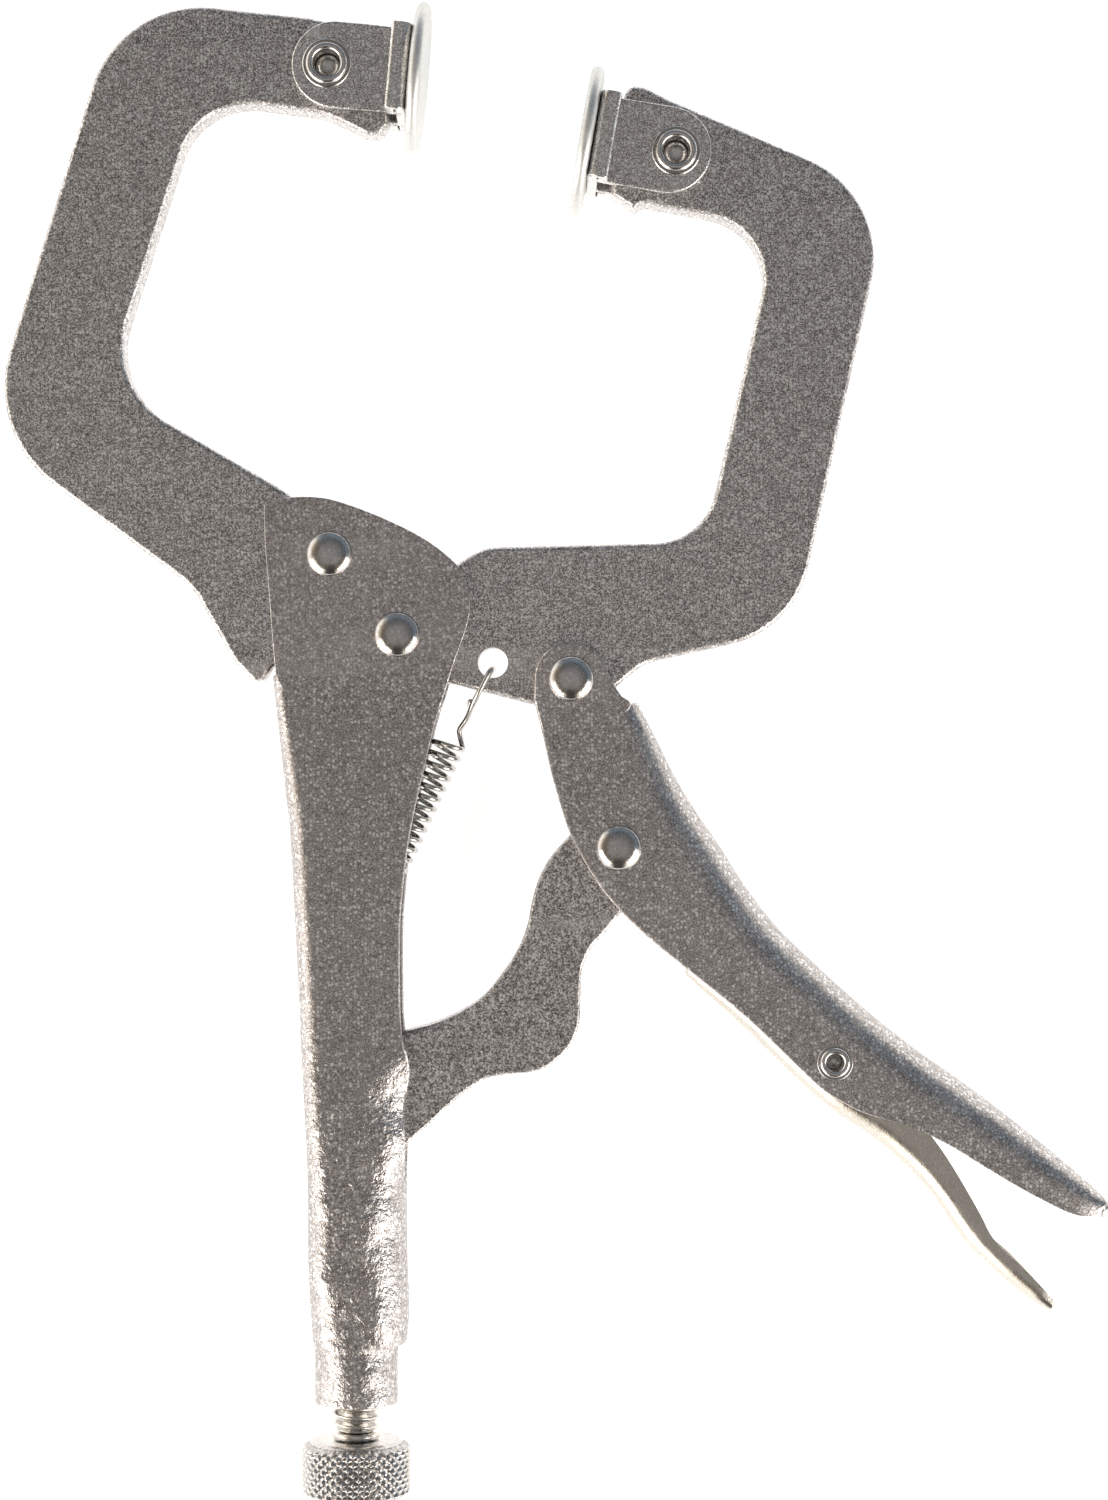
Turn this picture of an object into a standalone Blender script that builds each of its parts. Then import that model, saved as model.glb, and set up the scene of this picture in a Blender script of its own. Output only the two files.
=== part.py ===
"""Locking C clamp with swivel pads, as separate pieces.

Metres, +Z up. The clamp lies flat: +Y runs from the adjusting knob to the jaws, +Z is the
thickness direction, and the origin is under the middle of the clamp, on the plane it lies on.
All drawing dimensions below are millimetres in that same frame.
"""

import math

import bmesh
import bpy
import numpy as np
from mathutils import Matrix, Vector

MM = 0.001

# ---------------------------------------------------------------- driving dimensions (mm)
MID_Z = 12.5            # mid-plane of the clamp, which is one pad radius above the ground
ARM_T = 7.0             # C-arm plate thickness
LINK_T = 6.4            # toggle link thickness
SHEET = 1.8             # channel sheet thickness
GAP = 0.15              # play between pieces that rest on each other
CENTRE = (0.32, 0.0)    # drawing point that the origin stands under

A = (-36.8, 32.1)       # fixed jaw rivet
B = (-25.7, 18.9)       # moving jaw pivot
C = (2.8, 11.7)         # lever on moving jaw
D = (10.6, -16.0)       # toggle link on lever
E = (45.9, -51.05)      # release lever on lever
F = (-32.7, -71.2)      # end of the toggle link, on the screw
PAD_L = (-37.2, 112.4)  # fixed arm's swivel
PAD_R = (20.0, 98.1)    # moving arm's swivel
TILT_L = -5.4           # direction that each pad faces, degrees
TILT_R = 170.3

RIVET_R = 2.9           # solid rivet shank
RIVET_HOLE = 3.2
HEAD_R = 3.75
HEAD_H = 1.7
PAD_RIVET_R = 3.0       # tubular pad rivet
PAD_RIVET_BORE = 2.2
DISC_R = 12.5
DISC_T = 2.1
STRIP_H = 14.2          # pad bracket strip height
SCREW_X = -32.7
THREAD_R = 3.95
KNOB_R = 9.0
COLL = "locking_c_clamp"

# ---------------------------------------------------------------- scene and materials
for old in list(bpy.data.objects):
    bpy.data.objects.remove(old, do_unlink=True)
parts = bpy.data.collections.new(COLL)
cutters = bpy.data.collections.new("cutters")
bpy.context.scene.collection.children.link(parts)
bpy.context.scene.collection.children.link(cutters)
cutters.hide_render = True


def material(name, colour, roughness, metallic=1.0):
    m = bpy.data.materials.new(name)
    m.use_nodes = True
    b = m.node_tree.nodes["Principled BSDF"]
    b.inputs["Base Color"].default_value = (*colour, 1)
    b.inputs["Roughness"].default_value = roughness
    b.inputs["Metallic"].default_value = metallic
    m.diffuse_color = (*colour, 1)
    return m


def finish(obj, mat, origin=None):
    """Own material, smooth shading, and the origin on the piece's joint axis."""
    obj.data.materials.clear()
    obj.data.materials.append(mat)
    if origin is not None:
        o = Vector(((origin[0] - CENTRE[0]) * MM, (origin[1] - CENTRE[1]) * MM,
                    (origin[2] if len(origin) > 2 else MID_Z) * MM))
        obj.data.transform(Matrix.Translation(-o))
        obj.location = o
    obj.data.shade_smooth()
    obj.data.set_sharp_from_angle(angle=math.radians(35))
    return obj


def new_object(name, mesh, collection=parts):
    obj = bpy.data.objects.new(name, mesh)
    collection.objects.link(obj)
    if collection is cutters:
        obj.hide_render = True
        obj.display_type = "WIRE"
    return obj


def world(x, y, z):
    return ((x - CENTRE[0]) * MM, (y - CENTRE[1]) * MM, z * MM)


# ---------------------------------------------------------------- outlines
def rounded(corners, step=22.0):
    """Corner list (x, y, radius) to points, with each corner rounded by a tangent arc."""
    out, n = [], len(corners)
    for i in range(n):
        p = Vector(corners[i][:2])
        r = corners[i][2] if len(corners[i]) > 2 else 0.0
        a, b = Vector(corners[i - 1][:2]) - p, Vector(corners[(i + 1) % n][:2]) - p
        if r <= 0 or a.length < 1e-6 or b.length < 1e-6:
            out.append(p)
            continue
        u, v = a.normalized(), b.normalized()
        inside = math.acos(max(-1, min(1, u.dot(v))))
        if math.pi - inside < 0.02:
            out.append(p)
            continue
        t = min(r / math.tan(inside / 2), 0.49 * a.length, 0.49 * b.length)
        r = t * math.tan(inside / 2)
        centre = p + (u + v).normalized() * (r / math.sin(inside / 2))
        s, e = p + u * t - centre, p + v * t - centre
        sweep = s.angle_signed(e) * -1
        k = max(1, math.ceil(abs(math.degrees(sweep)) / step))
        for j in range(k + 1):
            out.append(centre + Matrix.Rotation(sweep * j / k, 2) @ s)
    return [(q.x, q.y) for q in out]


def arc(c, r, a0, a1, step=20.0):
    """Points on an arc about c from angle a0 to a1, degrees, either way round."""
    k = max(1, math.ceil(abs(a1 - a0) / step))
    return [(c[0] + r * math.cos(math.radians(a0 + (a1 - a0) * j / k)),
             c[1] + r * math.sin(math.radians(a0 + (a1 - a0) * j / k))) for j in range(k + 1)]


def smooth(points, per=2):
    """Catmull-Rom curve through an open list of points."""
    p = [Vector(q) for q in points]
    p = [2 * p[0] - p[1]] + p + [2 * p[-1] - p[-2]]
    out = []
    for i in range(1, len(p) - 2):
        for j in range(per):
            t = j / per
            out.append(0.5 * ((2 * p[i]) + (p[i + 1] - p[i - 1]) * t
                              + (2 * p[i - 1] - 5 * p[i] + 4 * p[i + 1] - p[i + 2]) * t * t
                              + (3 * p[i] - p[i - 1] - 3 * p[i + 1] + p[i + 2]) * t ** 3))
    out.append(p[-2])
    return [tuple(q) for q in out]


def plate(name, points, z0, z1, collection=parts, matrix=None):
    """Flat outline as a filled 2D curve, extruded from z0 to z1, as a mesh object."""
    curve = bpy.data.curves.new(name + "_outline", "CURVE")
    curve.dimensions, curve.fill_mode = "2D", "BOTH"
    curve.extrude = (z1 - z0) / 2 * MM
    spline = curve.splines.new("POLY")
    spline.points.add(len(points) - 1)
    for q, s in zip(points, spline.points):
        s.co = (q[0] * MM, q[1] * MM, 0, 1)
    spline.use_cyclic_u = True
    guide = bpy.data.objects.new(name + "_outline", curve)
    parts.objects.link(guide)
    guide.matrix_world = Matrix.Translation((0, 0, (z0 + z1) / 2 * MM))
    bpy.context.view_layer.update()
    graph = bpy.context.evaluated_depsgraph_get()
    mesh = bpy.data.meshes.new_from_object(guide.evaluated_get(graph))
    mesh.transform(guide.matrix_world)
    bpy.data.objects.remove(guide)
    shift = Matrix.Translation((-CENTRE[0] * MM, -CENTRE[1] * MM, 0))
    mesh.transform(shift @ matrix if matrix is not None else shift)
    mesh.name = name
    bm = bmesh.new()
    bm.from_mesh(mesh)
    bmesh.ops.remove_doubles(bm, verts=bm.verts, dist=1e-6)
    bmesh.ops.dissolve_limit(bm, angle_limit=0.002, verts=bm.verts, edges=bm.edges)
    bmesh.ops.recalc_face_normals(bm, faces=bm.faces)
    bm.to_mesh(mesh)
    bm.free()
    return new_object(name, mesh, collection)


def bevel(obj, width, segments=1, angle=40):
    m = obj.modifiers.new("edge", "BEVEL")
    m.width, m.segments = width * MM, segments
    m.limit_method, m.angle_limit = "ANGLE", math.radians(angle)
    return obj


def cut(obj, cutter, operation="DIFFERENCE"):
    m = obj.modifiers.new("cut", "BOOLEAN")
    m.operation, m.solver, m.object = operation, "EXACT", cutter
    return obj


def drill(obj, x, y, r, z0=-30, z1=60, sides=20):
    bm = bmesh.new()
    bmesh.ops.create_cone(bm, cap_ends=True, segments=sides, radius1=r * MM, radius2=r * MM,
                          depth=(z1 - z0) * MM,
                          matrix=Matrix.Translation(world(x, y, (z0 + z1) / 2)))
    mesh = bpy.data.meshes.new("drill")
    bm.to_mesh(mesh)
    bm.free()
    return cut(obj, new_object(obj.name + "_hole", mesh, cutters))


def turned(name, profile, at, along="Z", steps=24, closed=False):
    """Turned piece: (radius, height) pairs down the outer side, spun about its own Z."""
    bm = bmesh.new()
    verts = [bm.verts.new((r * MM, 0, h * MM)) for r, h in profile]
    for i in range(len(verts) - 1):
        bm.edges.new((verts[i], verts[i + 1]))
    if closed:
        bm.edges.new((verts[-1], verts[0]))
    mesh = bpy.data.meshes.new(name)
    bm.to_mesh(mesh)
    bm.free()
    obj = new_object(name, mesh)
    m = obj.modifiers.new("turn", "SCREW")
    m.steps = m.render_steps = steps
    m.use_merge_vertices, m.merge_threshold = True, 1e-5
    m.use_smooth_shade = True
    obj.location = world(*at)
    if along == "-Y":
        obj.rotation_euler = (math.pi / 2, 0, 0)
    return obj


# ---------------------------------------------------------------- folded channels
def section(left, right, half, bend, close=0.0, slot=0.35):
    """Outer line of a channel section from the back edge round to the front edge, as
    (across, z) pairs. The spine is at left. close = 1 rolls the free edges round to meet."""
    roll = half - slot
    bend = min(bend, half - 0.2)
    flat = min(roll, 0.6 * (right - left - bend))
    back = []
    for j in range(5):
        a = math.radians(22.5 * j)
        rolled = (right - roll + roll * math.cos(a), -(half - roll) - roll * math.sin(a))
        straight = (right - flat * j / 4, -half)
        back.append(tuple(close * rolled[k] + (1 - close) * straight[k] for k in (0, 1)))
    back.append(((back[-1][0] + left + bend) / 2, -half))
    for j in range(5):
        a = math.radians(22.5 * j)
        back.append((left + bend - bend * math.sin(a), -half + bend - bend * math.cos(a)))
    return back + [(x, -z) for x, z in reversed(back)]


def inset(line, depth):
    """The same open line moved sideways by depth, towards the inside of the channel."""
    p = [Vector(q) for q in line]
    out = []
    for i, q in enumerate(p):
        a = (q - p[i - 1]).normalized() if i else (p[1] - q).normalized()
        b = (p[i + 1] - q).normalized() if i < len(p) - 1 else a
        m = (a + b).normalized()
        out.append(q + Vector((m.y, -m.x)) * (depth / max(0.5, m.dot(b))))
    return [tuple(q) for q in out]


def channel(name, stations, thickness):
    """Sheet folded to a channel: an outer and an inner skin lofted over the stations and
    joined along their edges. Each station is (spine point, edge point, half width, bend
    radius, close)."""
    bm = bmesh.new()
    rows = []
    for spine, edge, half, bend, close in stations:
        s, e = Vector(spine), Vector(edge)
        run, depth = (e - s).normalized(), (e - s).length
        outer = section(0, depth, half, bend, close)
        ring = outer + inset(outer, thickness)[::-1]
        rows.append([bm.verts.new(world(*(s + run * x), MID_Z + z)) for x, z in ring])
    for a, b in zip(rows, rows[1:]):
        for i in range(len(a)):
            k = (i + 1) % len(a)
            bm.faces.new((a[i], a[k], b[k], b[i]))
    half = len(rows[0]) // 2
    for r in (rows[0], rows[-1]):
        for i in range(half - 1):
            bm.faces.new((r[i], r[i + 1], r[-2 - i], r[-1 - i]))
    bmesh.ops.recalc_face_normals(bm, faces=bm.faces)
    mesh = bpy.data.meshes.new(name)
    bm.to_mesh(mesh)
    bm.free()
    return new_object(name, mesh)


# ---------------------------------------------------------------- C arms
steel = {}


def nickel(name, shade, rough):
    steel[name] = material(name, (shade, shade * 0.98, shade * 0.955), rough)
    return steel[name]


Z0, Z1 = MID_Z - ARM_T / 2, MID_Z + ARM_T / 2

fixed_outline = rounded([
    (-27.9, 119.2, 2.0), (-26.0, 116.4, 2.0), (-26.4, 109.1, 1.5), (-27.2, 105.7, 1.0),
    (-27.3, 102.9, 1.0), (-28.6, 101.2, 1.6), (-31.0, 101.3, 2.0), (-34.7, 103.2, 5.0),
    (-38.1, 104.7, 8.0), (-58.3, 107.4, 12.1), (-73.6, 59.7, 14.1), (-43.9, 42.4, 2.0),
    (-42.2, 40.3, 2.0), (-37.6, 39.9, 3.0), (-33.2, 38.2, 3.0), (-27.6, 33.2, 2.0),
]) + arc(B, 9.2, 100, 205) + rounded([
    (-41.8, 13.5, 1.0), (-46.3, 14.1, 1.5), (-47.7, 11.4, 1.2), (-49.6, 11.3, 1.2),
    (-52.8, 14.8, 1.5), (-53.9, 16.8, 3.0), (-59.5, 26.8, 12.0), (-93.85, 52.1, 20.0),
    (-71.5, 123.8, 22.0), (-40.0, 120.4, 0.0),
])
fixed_arm = plate("fixed_jaw_arm", fixed_outline, Z0, Z1)
bevel(fixed_arm, 0.5)
drill(fixed_arm, *A, RIVET_HOLE)
drill(fixed_arm, *PAD_L, PAD_RIVET_R + 0.3)
finish(fixed_arm, nickel("fixed_jaw_arm", 0.52, 0.38), A)

moving_outline = rounded([
    (14.1, 90.1, 2.0), (36.7, 85.8, 12.8), (24.7, 34.2, 10.5), (-11.5, 33.3, 8.0),
    (-18.7, 28.9, 4.0), (-20.6, 27.3, 0.0),
]) + arc(B, 8.6, 70, 300) + rounded([
    (-19.5, 10.6, 1.0), (-17.1, 11.0, 1.0), (-3.1, 7.4, 2.0), (0.3, 6.2, 3.0),
    (6.2, 6.2, 3.0), (9.5, 9.8, 3.0), (15.0, 14.3, 8.0), (39.6, 19.7, 16.9),
    (55.5, 91.4, 17.8), (18.7, 107.1, 6.0), (15.0, 109.0, 1.5), (12.7, 109.3, 1.0),
    (11.8, 108.1, 0.8), (10.4, 104.5, 1.5), (9.0, 100.8, 3.0), (9.0, 96.2, 3.0),
    (9.7, 92.0, 2.5),
])
moving_arm = plate("moving_jaw_arm", moving_outline, Z0, Z1)
bevel(moving_arm, 0.5)
drill(moving_arm, *B, RIVET_HOLE)
drill(moving_arm, *C, RIVET_HOLE)
drill(moving_arm, -10.04, 14.35, 2.5)
drill(moving_arm, *PAD_R, PAD_RIVET_R + 0.3)
finish(moving_arm, nickel("moving_jaw_arm", 0.52, 0.38), B)

# ---------------------------------------------------------------- fixed handle
HANDLE_TOP_W, HANDLE_W, NECK_W = 5.75, 7.6, 6.75
handle_rows = [  # y, spine x, edge x, half width, bend radius, close
    (46.0, -53.0, -8.0, HANDLE_TOP_W, 2.9, 0.0),
    (13.2, -51.0, -8.0, HANDLE_TOP_W, 2.9, 0.0),
    (12.6, -46.2, -8.0, HANDLE_TOP_W, 2.9, 0.0),
    (8.3, -45.8, -12.0, 5.9, 2.9, 0.0),
    (2.8, -45.2, -14.0, 6.0, 2.9, 0.0),
    (-12.7, -43.5, -18.0, 6.4, 3.0, 0.0),
    (-29.6, -42.5, -21.0, 6.8, 3.1, 0.0),
    (-41.4, -41.9, -22.0, 7.1, 3.2, 0.0),
    (-49.8, -41.5, -22.2, 7.3, 3.3, 0.06),
    (-56.0, -41.2, -23.2, 7.45, 3.4, 0.20),
    (-61.5, -40.9, -23.8, 7.55, 3.5, 0.34),
    (-66.5, -40.6, -24.2, HANDLE_W, 3.6, 0.40),
    (-70.5, -40.5, -24.3, HANDLE_W, 3.7, 0.70),
    (-75.0, -40.45, -24.3, HANDLE_W, 3.8, 1.0),
    (-83.5, -40.4, -24.2, HANDLE_W, 4.0, 1.0),
    (-93.0, -40.1, -23.9, HANDLE_W, 4.4, 1.0),
    (-97.4, -39.8, -24.4, 7.5, 5.2, 1.0),
    (-99.0, -39.6, -25.7, NECK_W, 6.2, 1.0),
    (-107.8, -39.5, -25.8, NECK_W, 6.4, 1.0),
]
handle = channel("fixed_handle", [((sx, y), (ex, y), w, b, c)
                                  for y, sx, ex, w, b, c in handle_rows], SHEET)
handle_outline = smooth([
    (-47.5, 40.1), (-43.7, 41.3), (-39.1, 41.4), (-35.0, 40.6), (-28.3, 38.1), (-21.8, 34.9),
    (-17.0, 31.4), (-14.8, 28.6), (-13.8, 24.9), (-14.1, 20.8), (-16.4, 14.1), (-19.0, 6.1),
    (-21.0, -2.0), (-23.1, -11.3), (-24.1, -17.2), (-24.7, -22.6), (-25.2, -29.3),
    (-25.2, -39.3), (-24.9, -46.0), (-23.7, -50.5), (-23.5, -53.8), (-24.6, -58.0),
    (-24.3, -62.0)]) + [(-20.0, -66.0), (-20.0, -125.0), (-60.0, -125.0), (-60.0, 12.0),
                        (-45.75, 12.0), (-46.0, 16.5), (-46.9, 28.1), (-47.4, 34.5)]
cut(handle, plate("handle_trim", handle_outline, -20, 50, cutters), "INTERSECT")
drill(handle, *A, RIVET_HOLE)
drill(handle, *B, RIVET_HOLE)
finish(handle, nickel("fixed_handle", 0.5, 0.36), B)

# ---------------------------------------------------------------- lever (moving handle)
lever_rows = [  # edge point, spine point, half width, bend radius
    ((-8.5, 15.5), (17.5, 25.0), 5.75, 3.0),
    ((-3.4, 4.2), (18.2, 9.9), 5.75, 3.0),
    ((-3.0, 3.0), (13.9, 7.6), 5.85, 3.2),
    ((-1.6, -3.4), (17.0, 1.6), 6.2, 4.2),
    ((0.2, -9.8), (19.9, -4.2), 6.5, 5.2),
    ((3.2, -17.1), (23.3, -9.9), 6.8, 6.2),
    ((8.2, -24.6), (27.1, -15.4), 7.0, 6.6),
    ((15.0, -31.3), (30.9, -21.4), 7.0, 6.6),
    ((24.0, -38.6), (36.3, -28.6), 7.0, 6.6),
    ((33.4, -47.0), (44.4, -36.5), 7.0, 6.6),
    ((41.0, -54.6), (52.6, -43.8), 7.0, 6.6),
    ((49.4, -60.0), (60.0, -49.6), 7.0, 6.6),
    ((59.4, -63.2), (68.0, -55.2), 7.0, 6.6),
    ((68.4, -67.9), (75.5, -60.9), 6.9, 5.8),
    ((77.4, -73.3), (83.3, -67.2), 6.7, 4.8),
    ((86.0, -78.0), (88.9, -71.9), 6.3, 3.6),
    ((91.0, -80.5), (92.6, -75.8), 5.9, 2.8),
]
lever = channel("lever", [(s, e, w, b, 0.0) for e, s, w, b in lever_rows], SHEET)
lever_outline = arc(C, 6.05, 22, 182) + smooth([
    (-3.3, 8.2), (-2.0, 3.2), (-0.6, -3.2), (1.0, -8.9), (2.6, -13.7), (5.0, -18.3),
    (7.9, -22.9), (12.0, -27.5), (17.2, -32.2), (24.6, -38.1), (30.1, -42.6), (34.2, -46.3),
    (38.4, -50.4), (41.2, -53.1), (43.8, -55.5), (47.9, -58.0), (51.4, -59.6), (57.4, -61.3),
    (62.1, -63.3), (65.8, -65.3), (70.9, -68.5), (77.8, -72.5), (84.7, -75.9), (88.3, -76.2),
    (90.3, -75.0)]) + [(98.0, -72.0), (98.0, -60.0), (60.0, -30.0), (30.0, 4.0), (20.0, 6.0),
                       (14.2, 7.4), (12.9, 7.9), (11.1, 8.8), (10.1, 10.3), (9.2, 12.0)]
cut(lever, plate("lever_trim", lever_outline, -20, 50, cutters), "INTERSECT")
drill(lever, *C, RIVET_HOLE)
drill(lever, *D, RIVET_HOLE)
drill(lever, *E, 2.3, sides=16)
finish(lever, nickel("lever", 0.5, 0.36), C)

# ---------------------------------------------------------------- toggle link
link_outline = arc(D, 6.0, 128, -48) + smooth([
    (11.9, -25.6), (8.6, -29.8), (6.1, -32.7), (4.6, -36.4), (4.4, -41.3), (4.1, -45.4),
    (2.6, -48.9), (-0.5, -51.7), (-3.5, -53.0), (-8.6, -53.5), (-12.0, -54.5), (-16.0, -57.4),
    (-20.1, -61.2), (-24.1, -64.8), (-28.4, -69.6)]) + arc(F, 3.2, -35, -185) + smooth([
        (-35.2, -64.0), (-33.2, -56.0), (-29.6, -49.4), (-24.35, -46.4), (-18.6, -44.6),
        (-12.5, -41.3), (-8.6, -36.9), (-5.9, -32.7), (-4.4, -28.8), (-3.7, -25.2),
        (-2.5, -21.2), (-0.5, -17.6), (2.6, -14.1)])
link = plate("toggle_link", link_outline, MID_Z - LINK_T / 2, MID_Z + LINK_T / 2)
bevel(link, 0.5)
drill(link, *D, RIVET_HOLE)
finish(link, nickel("toggle_link", 0.5, 0.4), D)

# ---------------------------------------------------------------- release lever
release_rows = [  # edge point, spine point, half width, bend radius
    ((25.4, -33.2), (20.6, -36.0), 4.2, 1.7),
    ((36.0, -38.6), (30.6, -45.1), 4.2, 1.8),
    ((45.5, -45.9), (39.5, -53.8), 4.2, 1.8),
    ((52.4, -47.9), (45.8, -59.3), 4.2, 1.8),
    ((60.8, -57.3), (53.7, -64.7), 4.2, 1.8),
    ((66.0, -63.8), (59.0, -69.5), 4.3, 1.8),
    ((70.0, -69.0), (62.6, -73.6), 4.7, 1.8),
    ((75.4, -76.2), (68.0, -81.3), 5.6, 1.9),
    ((80.0, -81.0), (74.1, -87.1), 6.2, 2.0),
    ((85.0, -86.6), (80.0, -91.4), 6.2, 2.0),
    ((88.0, -89.2), (84.0, -94.2), 6.2, 2.0),
]
release = channel("release_lever", [(s, e, w, b, 0.0) for e, s, w, b in release_rows], 1.5)
release_outline = smooth([
    (21.5, -36.6), (24.0, -35.2), (34.4, -41.4), (42.4, -47.6), (46.0, -46.8), (49.6, -48.6),
    (55.0, -56.0), (62.4, -63.8), (67.6, -71.6), (70.8, -77.0)]) + smooth([
        (71.0, -78.7), (75.9, -82.8), (78.9, -86.4), (82.2, -90.6)]) + [
            (82.6, -91.6), (80.0, -96.0), (60.0, -90.0), (20.0, -45.0)]
cut(release, plate("release_trim", release_outline, -20, 50, cutters), "INTERSECT")
drill(release, *E, 2.3, sides=16)
finish(release, nickel("release_lever", 0.55, 0.32), E)


# ---------------------------------------------------------------- rivets
def solid_rivet(name, at, half, shank=RIVET_R):
    """Round-head rivet through the pair of cheeks whose outer faces are at +-half."""
    h = half + GAP
    dome = [(HEAD_R * math.cos(math.radians(a)),
             h + 0.25 + (HEAD_H - 0.25) * math.sin(math.radians(a))) for a in (90, 60, 35, 0)]
    top = [(0.0, dome[0][1])] + dome[1:] + [(HEAD_R, h), (shank, h)]
    profile = top + [(r, -z) for r, z in reversed(top)]
    obj = turned(name, profile, (*at, MID_Z), steps=18)
    return finish(obj, nickel(name, 0.62, 0.16))


solid_rivet("fixed_jaw_rivet", A, HANDLE_TOP_W)
solid_rivet("jaw_pivot_rivet", B, HANDLE_TOP_W)
solid_rivet("lever_pivot_rivet", C, 5.8)
solid_rivet("link_rivet", D, 6.85)


def tube_rivet(name, at, half, shank, bore, rim, rise, deep=3.2):
    """Semi-tubular rivet: a blind bore and a rolled rim on each cheek."""
    h = half + GAP
    top = [(0, h - deep - 0.5), (bore, h - deep), (bore, h + 0.3 * rise),
           (bore + 0.35 * (rim - bore), h + rise), (rim - 0.3 * (rim - bore), h + rise),
           (rim, h + 0.35 * rise), (rim, h), (shank, h)]
    profile = top + [(r, -z) for r, z in reversed(top)]
    obj = turned(name, profile, (*at, MID_Z), steps=16)
    return finish(obj, nickel(name, 0.6, 0.2))


tube_rivet("release_lever_rivet", E, 7.0, 2.0, 1.4, 2.95, 0.7)
tube_rivet("fixed_pad_rivet", PAD_L, 5.65, PAD_RIVET_R, PAD_RIVET_BORE, 4.05, 0.9)
tube_rivet("moving_pad_rivet", PAD_R, 5.65, PAD_RIVET_R, PAD_RIVET_BORE, 4.05, 0.9)


# ---------------------------------------------------------------- swivel pads
def pad(prefix, at, facing):
    """Folded hat-shaped bracket and the round disc riveted to its web. Built facing +X at
    the rivet axis, then turned to the way the pad faces."""
    ear, out, foot0, back = 5.65, 10.2, 10.2, 13.65
    inner = ARM_T / 2 + 0.35
    place = (Matrix.Translation((at[0] * MM, at[1] * MM, MID_Z * MM))
             @ Matrix.Rotation(math.radians(facing), 4, "Z"))
    hat = rounded([
        (-6.5, ear), (foot0, ear, 0.6), (foot0, out, 1.6), (back, out, 1.6), (back, -out, 1.6),
        (foot0, -out, 1.6), (foot0, -ear, 0.6), (-6.5, -ear), (-6.5, -inner),
        (11.9, -inner, 0.6), (11.9, inner, 0.6), (-6.5, inner)], step=30)
    # the outline lies in the plane across the strip, so it is stood up before it is placed
    stand = place @ Matrix.Rotation(math.radians(90), 4, "X")
    bracket = plate(prefix + "_pad_bracket", hat, -STRIP_H / 2, STRIP_H / 2, matrix=stand)
    side = arc((1.3, 0), STRIP_H / 2 - 0.02, 90, 270, step=15) + [(20, -STRIP_H / 2 - 2), (20, STRIP_H / 2 + 2)]
    side = [p for p in side]
    side[0], side[-3] = (1.3, STRIP_H / 2 - 0.02), (1.3, -STRIP_H / 2 + 0.02)
    side = side[:-2] + [(3.0, -STRIP_H / 2 - 2), (20, -STRIP_H / 2 - 2), (20, STRIP_H / 2 + 2), (3.0, STRIP_H / 2 + 2)]
    cut(bracket, plate(prefix + "_ear_trim", side, -20, 20, cutters, matrix=place), "INTERSECT")
    drill(bracket, *at, PAD_RIVET_R + 0.3)
    # hole for the disc's stud, along the way the pad faces
    bm = bmesh.new()
    bmesh.ops.create_cone(bm, cap_ends=True, segments=16, radius1=2.8 * MM, radius2=2.8 * MM,
                          depth=6 * MM, matrix=Matrix.Translation((-CENTRE[0] * MM, -CENTRE[1] * MM, 0))
                          @ place @ Matrix.Translation((13 * MM, 0, 0))
                          @ Matrix.Rotation(math.radians(90), 4, "Y"))
    mesh = bpy.data.meshes.new("stud_hole")
    bm.to_mesh(mesh)
    bm.free()
    cut(bracket, new_object(prefix + "_stud_hole", mesh, cutters))
    finish(bracket, nickel(prefix + "_pad_bracket", 0.52, 0.38), at)
    face = back + GAP + DISC_T
    disc = turned(prefix + "_pad_disc", [
        (0, face), (DISC_R - 0.5, face), (DISC_R, face - 0.45), (DISC_R, face - DISC_T + 0.35),
        (DISC_R - 0.4, back + GAP), (2.5, back + GAP), (2.5, 12.0), (0, 12.0)], (0, 0, 0), steps=40)
    disc.matrix_world = (Matrix.Translation((-CENTRE[0] * MM, -CENTRE[1] * MM, 0)) @ place
                         @ Matrix.Rotation(math.radians(90), 4, "Y"))
    finish(disc, nickel(prefix + "_pad_disc", 0.62, 0.25))


pad("fixed", PAD_L, TILT_L)
pad("moving", PAD_R, TILT_R)

# ---------------------------------------------------------------- adjusting screw, nut and knob
TIP_Y, THREAD_END, KNOB_TOP, KNOB_BOT = -75.7, -112.5, -113.9, -123.5

nut = turned("adjusting_nut", [(4.25, 0.0), (5.0, 0.0), (5.2, -0.3), (5.2, -10.7), (5.0, -11.0),
                               (4.25, -11.0)], (SCREW_X, -86.0, MID_Z), along="-Y", closed=True)
nut.rotation_euler = (-math.pi / 2, 0, 0)
finish(nut, nickel("adjusting_nut", 0.45, 0.4))

screw_len = TIP_Y - THREAD_END
screw = turned("adjusting_screw", [
    (0, 0), (THREAD_R - 1.1, 0), (THREAD_R, -1.1), (THREAD_R, -screw_len), (2.5, -screw_len),
    (2.5, -screw_len - 8.6), (0, -screw_len - 8.6)], (SCREW_X, TIP_Y, MID_Z))
screw.rotation_euler = (-math.pi / 2, 0, 0)
finish(screw, nickel("adjusting_screw", 0.55, 0.25))

collar = turned("screw_collar", [(2.8, 0), (3.6, 0), (3.85, -0.3), (3.85, -0.95), (2.8, -0.95)],
                (SCREW_X, THREAD_END - 0.2, MID_Z), closed=True)
collar.rotation_euler = (-math.pi / 2, 0, 0)
finish(collar, nickel("screw_collar", 0.6, 0.25))

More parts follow.
